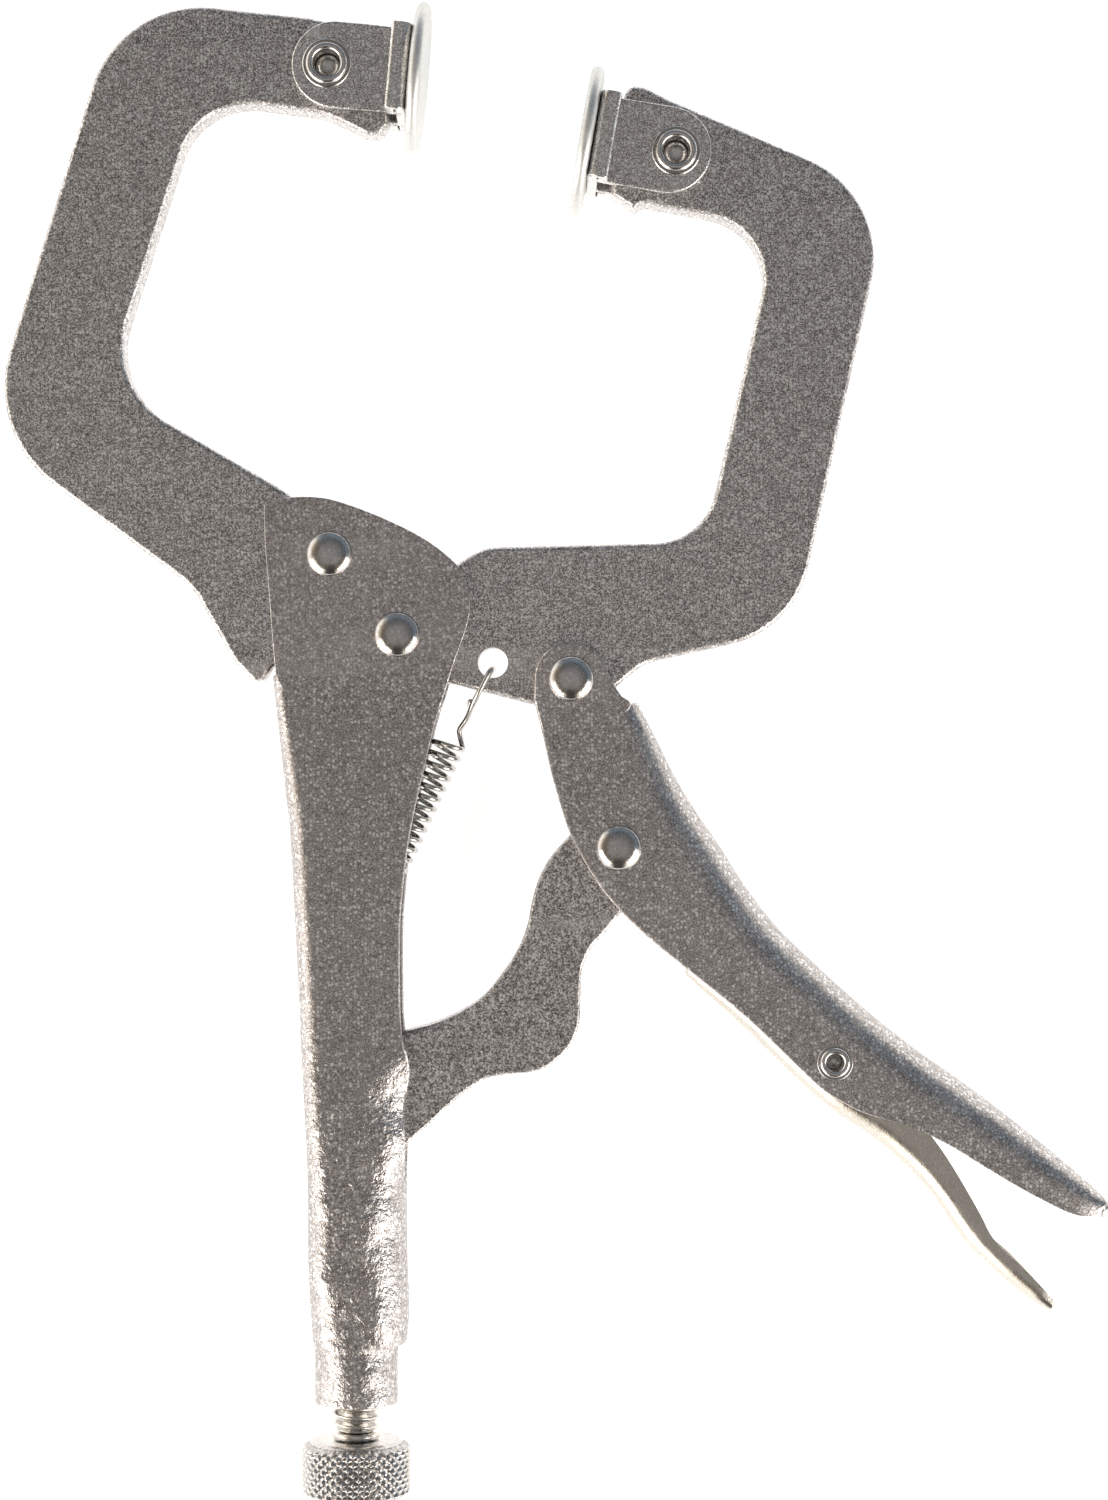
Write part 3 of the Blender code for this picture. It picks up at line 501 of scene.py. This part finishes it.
# ---------------------------------------------------------------- fixed handle
right_edge = smooth([
    (-14.1, 20.8), (-16.4, 14.1), (-19.0, 6.1), (-21.0, -2.0), (-23.1, -11.3), (-24.1, -17.2),
    (-24.7, -22.6), (-25.2, -29.3), (-25.2, -39.3), (-24.9, -46.0), (-23.7, -50.5),
    (-23.5, -53.8), (-24.5, -58.0), (-24.3, -62.0), (-24.2, -66.5), (-24.3, -70.5),
    (-24.3, -75.0), (-24.2, -83.5), (-23.9, -92.0), (-24.1, -96.0), (-24.5, -98.1),
    (-25.7, -98.7), (-25.8, -107.8)])
ex = np.array(right_edge)[::-1]
table = np.array([  # y, spine x, half width, bend radius, close
    (12.3, -46.2, 5.75, 2.0, 0.0), (8.3, -45.8, 5.75, 2.0, 0.0), (2.8, -45.2, 5.85, 2.4, 0.0),
    (-5.0, -44.4, 6.05, 2.9, 0.0), (-12.7, -43.5, 6.3, 3.1, 0.0), (-29.6, -42.5, 6.8, 3.2, 0.0),
    (-41.4, -41.9, 7.1, 3.3, 0.0), (-46.5, -41.7, 7.2, 3.3, 0.02), (-49.8, -41.5, 7.3, 3.4, 0.12),
    (-53.0, -41.35, 7.4, 3.4, 0.26), (-57.0, -41.15, 7.5, 3.5, 0.34),
    (-61.5, -40.9, 7.55, 3.5, 0.37), (-66.5, -40.6, 7.6, 3.6, 0.42), (-70.5, -40.5, 7.6, 3.7, 0.74),
    (-75.0, -40.45, 7.6, 3.8, 1.0), (-84.0, -40.4, 7.6, 4.0, 1.0), (-90.0, -40.2, 7.55, 4.8, 1.0),
    (-96.5, -39.9, 7.25, 6.2, 1.0), (-98.1, -39.75, 7.15, 6.4, 1.0), (-98.7, -39.55, 6.75, 6.3, 1.0),
    (-107.5, -39.5, 6.7, 6.35, 1.0)])
ys = np.unique(np.concatenate([np.linspace(-97.6, 12.0, 92), np.linspace(-99.2, -97.6, 9),
                               np.linspace(-107.5, -99.2, 8)]))[::-1]
par = hermite(-table[:, 0], table[:, 1:], -ys)
rows = [(p[0], y, float(np.interp(y, ex[:, 1], ex[:, 0])), y, p[1], p[2], p[3])
        for y, p in zip(ys, par)]
handle = channel("fixed_handle_shell", rows, 1.8, rim=0.55, end=0.3)
cheek = smooth([
    (-47.5, 40.1), (-43.7, 41.3), (-39.1, 41.4), (-35.0, 40.6), (-28.3, 38.1), (-21.8, 34.9),
    (-17.0, 31.4), (-14.8, 28.6), (-13.8, 24.9), (-14.1, 20.8), (-16.4, 14.1), (-18.6, 7.2),
    ]) + [(-20.5, 4.5), (-30.0, 3.5), (-40.0, 4.5), (-43.6, 8.0), (-45.6, 12.2), (-46.0, 16.5),
          (-46.9, 28.1), (-47.4, 34.5)]
for side in (-1, 1):
    z0, z1 = sorted((MID + side * 3.96, MID + side * 5.745))
    join(handle, plate("cheek", [cheek], z0, z1, 0.22))
for at in (A, B):
    join(handle, rod(*at, 3.05), "DIFFERENCE")
put(handle, "frame_body", ["fixed_handle"], handle_metal)

# ---------------------------------------------------------------- lever
lever_edge = np.array(smooth([
    (-3.3, 8.2), (-2.0, 3.2), (-0.6, -3.2), (1.0, -8.9), (2.6, -13.7), (5.0, -18.3),
    (7.9, -22.9), (12.0, -27.5), (17.2, -32.2), (24.6, -38.1), (30.1, -42.6), (34.2, -46.3),
    (38.4, -50.4), (41.2, -53.1), (43.8, -55.5), (47.9, -58.0), (51.4, -59.6), (57.4, -61.3),
    (62.1, -63.3), (65.8, -65.3), (70.9, -68.5), (77.8, -72.5), (84.7, -75.9), (88.3, -76.2),
    (90.3, -75.0)], 8))
lever_rows = np.array([  # spine, towards the edge, half width, bend radius
    (13.9, 7.6, -3.0, 3.0, 5.85, 3.2), (17.0, 1.6, -1.6, -3.4, 6.2, 4.2),
    (19.9, -4.2, 0.2, -9.8, 6.5, 5.2), (23.3, -9.9, 3.2, -17.1, 6.8, 6.2),
    (27.1, -15.4, 8.2, -24.6, 7.0, 6.6), (30.9, -21.4, 15.0, -31.3, 7.0, 6.6),
    (36.3, -28.6, 24.0, -38.6, 7.0, 6.6), (44.4, -36.5, 33.4, -47.0, 7.0, 6.6),
    (52.6, -43.8, 41.0, -54.6, 7.0, 6.6), (60.0, -49.6, 49.4, -60.0, 7.0, 6.6),
    (68.0, -55.2, 59.4, -63.2, 7.0, 6.6), (75.5, -60.9, 68.4, -67.9, 6.9, 5.8),
    (83.3, -67.2, 77.4, -73.3, 6.7, 4.8), (88.3, -71.5, 85.4, -77.6, 6.2, 3.2),
    (90.3, -73.5, 89.0, -77.2, 5.5, 2.2), (90.9, -74.3, 90.2, -76.4, 5.0, 2.0)])


def meet(s, e):
    """Where the line from the spine towards the edge crosses the lever's lower outline."""
    best = None
    d = e - s
    for p, q in zip(lever_edge, lever_edge[1:]):
        g = q - p
        den = d[0] * g[1] - d[1] * g[0]
        if abs(den) < 1e-9:
            continue
        u = ((p[0] - s[0]) * g[1] - (p[1] - s[1]) * g[0]) / den
        v = ((p[0] - s[0]) * d[1] - (p[1] - s[1]) * d[0]) / den
        if -1e-6 <= v <= 1 + 1e-6 and u > 0.2 and (best is None or u < best):
            best = u
    return s + d * (best if best else 1.0)


k = np.arange(len(lever_rows))
fine = hermite(k, lever_rows, np.concatenate([np.linspace(0, 12, 85), np.linspace(12.2, 15, 15)]))
rows = []
for r in fine:
    o = meet(r[:2], r[2:4])
    rows.append((r[0], r[1], o[0], o[1], r[4], r[5], 0.0))
lever = channel("lever_shell", rows, 1.8, rim=0.6, end=0.35)
ear = arc(C, 6.05, 22, 182) + smooth([(-3.3, 8.2), (-2.0, 3.2), (-1.4, 0.4)], 4) + [
    (3.0, -1.5), (8.5, 0.5), (11.0, 4.0), (12.7, 7.4), (12.3, 8.1), (11.1, 8.8), (10.1, 10.3),
    (9.2, 12.0)]
for side in (-1, 1):
    z0, z1 = sorted((MID + side * 4.06, MID + side * 5.845))
    join(lever, plate("ear", [ear], z0, z1, 0.45))
for at in (C, D):
    join(lever, rod(*at, 3.05), "DIFFERENCE")
join(lever, rod(*E, 2.15), "DIFFERENCE")
put(lever, "lever_body", ["lever"], sheet_metal)

# ---------------------------------------------------------------- release lever
release_rows = np.array([  # spine, edge, half width, bend radius
    (21.7, -37.1, 23.4, -35.0, 4.2, 1.7), (26.0, -41.0, 28.6, -38.0, 4.2, 2.4),
    (30.6, -45.1, 34.5, -41.0, 4.2, 3.0), (39.5, -53.8, 43.6, -47.4, 4.2, 3.2),
    (45.8, -59.3, 49.9, -48.9, 4.2, 3.2), (53.7, -64.7, 58.3, -58.9, 4.2, 3.2),
    (58.96, -69.5, 63.6, -65.6, 4.3, 3.2), (62.6, -73.6, 67.3, -71.5, 4.7, 3.1),
    (66.2, -79.0, 70.3, -76.9, 5.3, 3.1), (68.0, -81.3, 71.3, -79.0, 5.6, 3.2),
    (70.6, -83.9, 72.7, -80.9, 5.9, 3.2), (74.1, -87.1, 76.1, -84.0, 6.2, 3.2),
    (78.0, -90.0, 79.6, -87.6, 6.2, 2.6), (80.9, -91.9, 82.1, -90.4, 5.6, 1.7)])
k = np.arange(len(release_rows))
fine = hermite(k, release_rows, np.linspace(0, len(release_rows) - 1, 79))
release = channel("release_lever_shell", [(*r[:4], r[4], r[5], 0.0) for r in fine], 1.5,
                  rim=0.3, end=0.25)
join(release, rod(*E, 2.15), "DIFFERENCE")
put(release, "release_body", ["release_lever"], release_painted_reflection_metal)


# ---------------------------------------------------------------- rivets
def turned(name, profile, sides=64, matrix=None, closed=False):
    """Profile of (radius, height) points spun about Z."""
    bm = bmesh.new()
    rings = []
    for r, h in profile:
        if r < 1e-6:
            rings.append([bm.verts.new((0, 0, h * MM))])
        else:
            rings.append([bm.verts.new((r * MM * math.cos(2 * math.pi * i / sides),
                                        r * MM * math.sin(2 * math.pi * i / sides), h * MM))
                          for i in range(sides)])
    pairs = list(zip(rings, rings[1:])) + ([(rings[-1], rings[0])] if closed else [])
    for a, b in pairs:
        for i in range(sides):
            k = (i + 1) % sides
            if len(a) == 1 and len(b) == 1:
                break
            if len(a) == 1:
                bm.faces.new((a[0], b[i], b[k]))
            elif len(b) == 1:
                bm.faces.new((a[i], b[0], a[k]))
            else:
                bm.faces.new((a[i], b[i], b[k], a[k]))
    bmesh.ops.recalc_face_normals(bm, faces=bm.faces)
    mesh = bpy.data.meshes.new(name)
    bm.to_mesh(mesh)
    bm.free()
    o = as_object(name, mesh)
    if matrix is not None:
        mesh.transform(matrix)
    return o


def solid_rivet(node, body, at, half):
    h = half + 0.03
    n = 12
    top = [(0, h + 1.7)]
    for i in range(1, n + 1):
        a = math.radians(90 - 90 * i / n)
        top.append((3.72 * math.cos(a) ** 0.96, h + 0.2 + 1.5 * math.sin(a) ** 1.05))
    top += [(3.72, h + 0.12), (3.62, h), (2.9, h)]
    prof = top + [(r, -z) for r, z in reversed(top)]
    o = turned(node + "_head", prof, 72, Matrix.Translation(world(*at, MID)))
    put(o, body, [node], rivet_metal, angle=50)


solid_rivet("fixed_jaw_rivet", "frame_body", A, 5.75)
solid_rivet("jaw_pivot_rivet", "frame_body", B, 5.75)
solid_rivet("lever_pivot_rivet", "moving_jaw", C, 5.85)
solid_rivet("link_rivet", "lever_body", D, 6.8)


def tube_rivet(node, body, at, half, shank, bore, rim, rise):
    """Rolled-over rim: an outer slope, a rounded crest and a lip that turns into a blind bore."""
    h = half + 0.03
    w = rim - bore
    top = [(0, h - 3.6), (0.55 * bore, h - 3.45), (0.9 * bore, h - 3.05), (bore, h - 2.6)]
    for i in range(13):
        a = math.radians(180 * i / 12)
        top.append((bore + w * 0.36 - w * 0.36 * math.cos(a), h + 0.25 * rise + 0.75 * rise * math.sin(a)))
    top += [(rim - 0.22 * w, h + 0.16 * rise), (rim - 0.12 * w, h + 0.32 * rise),
            (rim - 0.04 * w, h + 0.26 * rise), (rim, h + 0.1), (rim - 0.04, h), (shank, h)]
    prof = top + [(r, -z) for r, z in reversed(top)]
    o = turned(node + "_rolled", prof, 64, Matrix.Translation(world(*at, MID)))
    put(o, body, [node], tube_metal, angle=60)


tube_rivet("release_lever_rivet", "lever_body", E, 7.0, 2.0, 1.35, 2.95, 0.75)
tube_rivet("fixed_pad_rivet", "frame_body", PAD_L, 5.65, 3.0, 2.1, 4.05, 1.0)
tube_rivet("moving_pad_rivet", "moving_jaw", PAD_R, 5.65, 3.0, 2.1, 4.05, 1.0)


# ---------------------------------------------------------------- swivel pads
def pad(prefix, body, at, facing):
    place = Matrix.Translation(Vector((*at, MID)) * MM) @ Matrix.Rotation(math.radians(facing), 4, "Z")
    stand = place @ Matrix.Rotation(math.radians(90), 4, "X")
    # web and hemmed feet: the sheet turns out from the ears and folds back on itself
    hat = rounded([
        (10.2, 5.0), (10.2, 10.1, 0.8), (13.65, 10.1, 1.6), (13.65, -10.1, 1.6),
        (10.2, -10.1, 0.8), (10.2, -5.0), (11.7, -5.0), (11.8, -8.9, 0.1), (11.98, -8.9, 0.1),
        (12.0, -4.4), (11.9, -4.0), (11.9, 4.0), (12.0, 4.4), (11.98, 8.9, 0.1),
        (11.8, 8.9, 0.1), (11.7, 5.0)], step=12)
    bracket = plate(prefix + "_pad_bracket_shell", [hat], -7.15, 7.15, 0.3, 3, matrix=stand)
    ear = arc((1.3, 0), 7.1, 90, 270, 4) + [(6.0, -7.1), (11.4, -7.0), (12.2, -6.9),
                                            (12.2, 6.9), (11.4, 7.0), (6.0, 7.1)]
    for side in (-1, 1):
        z0, z1 = sorted((side * 3.85, side * 5.65))
        join(bracket, plate("ear", [ear, circle((0, 0), 3.2)], z0, z1, 0.35, 4, matrix=place))
    hole = rod(0, 0, 2.7, -3, 3, matrix=Matrix.Translation((-CX * MM, -CY * MM, 0)) @ place
               @ Matrix.Translation((13 * MM, 0, 0)) @ Matrix.Rotation(math.radians(90), 4, "Y"))
    join(bracket, hole, "DIFFERENCE")
    put(bracket, body, [prefix + "_pad_bracket"], pad_metal)
    f, b = 15.9, 13.72
    prof = [(0, f)]
    prof += [(11.4 + 1.08 * math.sin(math.radians(a)), (f + b) / 2 + (f - b) / 2 * math.cos(math.radians(a)))
             for a in range(0, 181, 15)]
    prof += [(2.5, b), (2.5, 12.3), (2.2, 12.0), (0, 12.0)]
    o = turned(prefix + "_pad_disc_turned", prof, 96,
               Matrix.Translation((-CX * MM, -CY * MM, 0)) @ place
               @ Matrix.Rotation(math.radians(90), 4, "Y"))
    put(o, body, [prefix + "_pad_disc"], disc_painted_bright_metal, angle=40)


pad("fixed", "fixed_pad", PAD_L, TILT_L)
pad("moving", "moving_pad", PAD_R, TILT_R)

# ---------------------------------------------------------------- screw, collar and knob
along = Matrix.Translation(world(SCREW_X, 0, MID)) @ Matrix.Rotation(-math.pi / 2, 4, "X")
TIP, THREAD_END = -75.7, -112.5
PITCH, R_OUT, R_IN = 1.5, 3.95, 3.05


def screw_rows():
    sides, per = 48, 12
    n = int((TIP - THREAD_END) / PITCH * per)
    rows = [[(SCREW_X + 0.01 * math.cos(t), TIP, MID + 0.01 * math.sin(t))
             for t in np.linspace(0, 2 * math.pi, sides, endpoint=False)]]
    for i in range(n + 1):
        y = TIP - (TIP - THREAD_END) * i / n
        limit = min(R_OUT, 2.9 + (TIP - y) * 1.0, 2.95 + max(0, y - THREAD_END) * 1.3)
        ring = []
        for t in np.linspace(0, 2 * math.pi, sides, endpoint=False):
            phase = (y / PITCH - t / (2 * math.pi)) % 1
            w = min(1, max(0, (1 - abs(2 * phase - 1)) * 1.35 - 0.12))
            r = min(limit, R_IN + (R_OUT - R_IN) * w)
            ring.append((SCREW_X + r * math.cos(t), y, MID + r * math.sin(t)))
        rows.append(ring)
    for r, y in ((2.5, THREAD_END - 0.25), (2.5, -121.2), (2.2, -121.5), (0.01, -121.5)):
        rows.append([(SCREW_X + r * math.cos(t), y, MID + r * math.sin(t))
                     for t in np.linspace(0, 2 * math.pi, sides, endpoint=False)])
    return rows


screw = grid_mesh("adjusting_screw_thread", screw_rows(), caps="fan")
put(screw, "screw_body", ["adjusting_screw"], thread_metal, angle=50, weighted=False)

ring = [(2.75, 112.7), (3.5, 112.7), (3.78, 112.82), (3.85, 113.1), (3.85, 113.35), (3.78, 113.6),
        (3.5, 113.7), (2.75, 113.7)]
collar = turned("screw_collar_ring", [(r, -h) for r, h in ring], 64,
                Matrix.Translation(world(SCREW_X, 0, MID)) @ Matrix.Rotation(-math.pi / 2, 4, "X"), True)
put(collar, "screw_carrier", ["screw_collar"], thread_metal, angle=40)

KNOB_TOP, KNOB_BOT, KNOB_R = -113.9, -123.5, 9.0


def knob_rows():
    sides, rows = 300, []

    def ring(y, radius):
        ts = np.linspace(0, 2 * math.pi, sides, endpoint=False)
        return [(SCREW_X + radius(t) * math.cos(t), y, MID + radius(t) * math.sin(t)) for t in ts]

    def plain(r):
        return lambda t: r

    # up the blind bore, over the top face and its shoulder, then down the knurl
    for r, y in ((0.01, KNOB_BOT + 1.6), (2.8, KNOB_BOT + 1.6), (2.8, KNOB_TOP - 0.3),
                 (3.1, KNOB_TOP), (6.6, KNOB_TOP), (7.2, KNOB_TOP - 0.1), (7.7, KNOB_TOP - 0.45)):
        rows.append(ring(y, plain(r)))
    top, bot = KNOB_TOP - 0.55, KNOB_BOT + 0.4
    n = 66
    for i in range(n + 1):
        y = top + (bot - top) * i / n
        v = (y - bot) / 1.62
        edge = min(1.0, (top - y) / 0.9, (y - bot) / 0.7)
        edge = max(0.0, edge)
        base = KNOB_R - 0.9 * (1 - edge) ** 2 - 0.5

        def radius(t, v=v, base=base, edge=edge):
            u = 30 * t / (2 * math.pi)
            g1 = 1 - abs(2 * ((u + v) % 1) - 1)
            g2 = 1 - abs(2 * ((u - v) % 1) - 1)
            return base + 0.5 * min(1.0, 1.45 * min(g1, g2)) * (0.35 + 0.65 * edge)

        rows.append(ring(y, radius))
    for r, y in ((7.5, KNOB_BOT + 0.12), (7.0, KNOB_BOT), (0.01, KNOB_BOT)):
        rows.append(ring(y, plain(r)))
    return rows


knob = grid_mesh("knurled_knob_turned", knob_rows(), caps="fan")
put(knob, "screw_body", ["knurled_knob"], knob_metal, angle=40, weighted=False)

# ---------------------------------------------------------------- return spring
ANCHOR = (-31.3, -29.0)


def spring_path():
    top, foot = Vector((-17.3, 1.2)), Vector((-29.0, -24.0))
    axis = (foot - top).normalized()
    side = Vector((-axis.y, axis.x))
    if side.x < 0:
        side = -side
    lead = smooth([(-13.7, 8.0, MID + 2.6), (-14.1, 7.5, MID + 0.4), (-13.9, 7.5, MID - 2.4),
                   (-13.1, 8.7, MID - 4.3), (-11.8, 10.9, MID - 4.7), (-10.7, 12.7, MID - 4.6),
                   (-10.15, 13.35, MID - 3.7), (-10.1, 13.5, MID), (-10.3, 13.2, MID + 3.7),
                   (-10.9, 12.3, MID + 4.55), (-12.1, 9.9, MID + 4.5), (-13.4, 7.4, MID + 3.2),
                   (-14.4, 5.2, MID + 1.3), (-15.6, 3.4, MID + 0.2), (-15.6, 2.4, MID - 0.1)], 5)
    points = list(lead)
    n = 15 * 28
    for i in range(n + 1):
        a = 2 * math.pi * i / 28
        p = top + (foot - top) * (i / n) + side * (2.45 * math.cos(a))
        points.append((p.x, p.y, MID + 2.45 * math.sin(a)))
    c = Vector(ANCHOR)
    tail = [points[-1], (foot.x - 0.2, foot.y - 1.2, MID + 1.0)]
    for j in range(8):
        a = math.radians(60 - j * 38)
        tail.append((c.x + 1.85 * math.cos(a), c.y + 1.85 * math.sin(a), MID - 0.12 * j))
    return points[:-1] + smooth(tail, 4)


curve = bpy.data.curves.new("spring", "CURVE")
curve.dimensions = "3D"
curve.bevel_depth, curve.bevel_resolution, curve.use_fill_caps = 0.43 * MM, 3, True
path = spring_path()
s = curve.splines.new("POLY")
s.points.add(len(path) - 1)
for q, p in zip(path, s.points):
    p.co = (*world(*q), 1)
tmp = as_object("spring_curve", curve)
bpy.context.view_layer.update()
mesh = bpy.data.meshes.new_from_object(tmp.evaluated_get(bpy.context.evaluated_depsgraph_get()))
bpy.data.objects.remove(tmp)
spring = as_object("return_spring_coil", clean(mesh))
spring.data.materials.clear()
spring.data.materials.append(wire_metal)
spring.data.shade_smooth()
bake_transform(spring)
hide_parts("return_spring")

# ---------------------------------------------------------------- pieces kept from the frame
for node in ("adjusting_nut", "spring_anchor_pin"):
    o = frame["nodes"][node]
    o.data.materials.clear()
    o.data.materials.append(inner_metal)

# ---------------------------------------------------------------- floor, light and camera
floor_mat, t, b = nodes_for("pale_floor")
tc = t.nodes.new("ShaderNodeTexCoord")
n = noise(t, tc.outputs["Object"], 9, 3)
c = ramp(t, n.outputs["Fac"], [(0.3, (0.90, 0.90, 0.90)), (0.7, (0.93, 0.93, 0.93))])
t.links.new(c.outputs["Color"], b.inputs["Base Color"])
b.inputs["Roughness"].default_value = 0.9
b.inputs["Specular IOR Level"].default_value = 0.1
b.inputs["Emission Color"].default_value = (1, 1, 1, 1)
b.inputs["Emission Strength"].default_value = 0.72
bm = bmesh.new()
bmesh.ops.create_grid(bm, x_segments=8, y_segments=8, size=3.0, matrix=Matrix.Translation((0, 0, -0.0002)))
mesh = bpy.data.meshes.new("floor")
bm.to_mesh(mesh)
bm.free()
floor = as_object("floor", mesh)
mesh.materials.append(floor_mat)

wd = bpy.data.worlds.new("studio")
bpy.context.scene.world = wd
wd.use_nodes = True
t = wd.node_tree
t.nodes.clear()
out = t.nodes.new("ShaderNodeOutputWorld")
bg = t.nodes.new("ShaderNodeBackground")
t.links.new(bg.outputs["Background"], out.inputs["Surface"])
tc = t.nodes.new("ShaderNodeTexCoord")
sep = t.nodes.new("ShaderNodeSeparateXYZ")
t.links.new(tc.outputs["Generated"], sep.inputs[0])


def calc(op, a, b=None, c=None, clamp=False):
    n = t.nodes.new("ShaderNodeMath")
    n.operation, n.use_clamp = op, clamp
    for s, v in zip(n.inputs, (a, b, c)):
        if v is None:
            continue
        if isinstance(v, (int, float)):
            s.default_value = v
        else:
            t.links.new(v, s)
    return n.outputs[0]


def step_up(v, lo, hi):
    n = t.nodes.new("ShaderNodeMapRange")
    n.interpolation_type = "SMOOTHSTEP"
    n.inputs["From Min"].default_value, n.inputs["From Max"].default_value = lo, hi
    t.links.new(v, n.inputs["Value"])
    return n.outputs["Result"]


x, y, z = sep.outputs
tilt = calc("SUBTRACT", 1.0, z, clamp=True)
h = calc("SQRT", calc("ADD", calc("ADD", calc("MULTIPLY", x, x), calc("MULTIPLY", y, y)), 1e-6))
cx, cy = calc("DIVIDE", x, h), calc("DIVIDE", y, h)
GREY = (0.222, 0.212, 0.205)
sides_ = ramp(t, tilt, [(0.0, GREY), (0.07, GREY), (0.15, (0.12, 0.108, 0.097)), (0.30, (0.17, 0.14, 0.108)),
                        (0.42, (0.44, 0.37, 0.275)), (0.58, (0.88, 0.83, 0.73)), (0.75, (1.0, 0.98, 0.95)),
                        (1.0, (1.0, 0.98, 0.95))])
upper = ramp(t, tilt, [(0.0, GREY), (0.05, (0.175, 0.172, 0.172)), (0.12, (0.125, 0.128, 0.132)),
                       (0.26, (0.085, 0.09, 0.095)), (0.42, (0.125, 0.155, 0.19)), (0.60, (0.14, 0.175, 0.21)),
                       (0.85, (0.11, 0.112, 0.117)), (1.0, (0.40, 0.40, 0.40))])
lower = ramp(t, tilt, [(0.0, GREY), (0.06, (0.165, 0.158, 0.15)), (0.16, (0.05, 0.046, 0.043)),
                       (0.80, (0.045, 0.04, 0.036)), (0.92, (0.70, 0.69, 0.67)), (1.0, (0.98, 0.97, 0.95))])
a = calc("ADD", calc("MULTIPLY", cx, 0.5), calc("MULTIPLY", cy, 0.87))
up_mask = step_up(a, 0.05, 0.6)
low_mask = step_up(calc("MULTIPLY", cy, -1.0), 0.90, 0.985)
colour = mix(t, sides_.outputs["Color"], upper.outputs["Color"], up_mask)
colour = mix(t, colour, lower.outputs["Color"], low_mask)
t.links.new(colour, bg.inputs["Color"])
bg.inputs["Strength"].default_value = 1.6


def soft_light(name, at, size, power, tint=(1, 1, 1)):
    light = bpy.data.lights.new(name, "AREA")
    light.shape, light.size, light.size_y = "RECTANGLE", size[0], size[1]
    light.energy, light.color = power, tint
    o = as_object(name, light)
    o.location = at
    o.rotation_euler = (Vector((0, 0, 0.01)) - Vector(at)).to_track_quat("-Z", "Y").to_euler()
    return o


soft_light("left_softbox", (-0.60, -0.46, 0.42), (0.7, 0.5), 3.0, (1.0, 0.98, 0.95))
soft_light("right_softbox", (0.62, -0.42, 0.42), (0.7, 0.5), 3.0, (1.0, 0.98, 0.96))

cam = bpy.data.cameras.new("camera")
cam.sensor_width = 36.0
cam.lens = 18.0 * 6.084 * 520 / 750
cam.clip_start, cam.clip_end = 0.01, 20
camera = as_object("camera", cam)
camera.location = (-CX * MM, 0.0, 0.536)
bpy.context.scene.camera = camera
bpy.context.scene.view_settings.view_transform = "Standard"
bpy.context.scene.view_settings.look = "None"
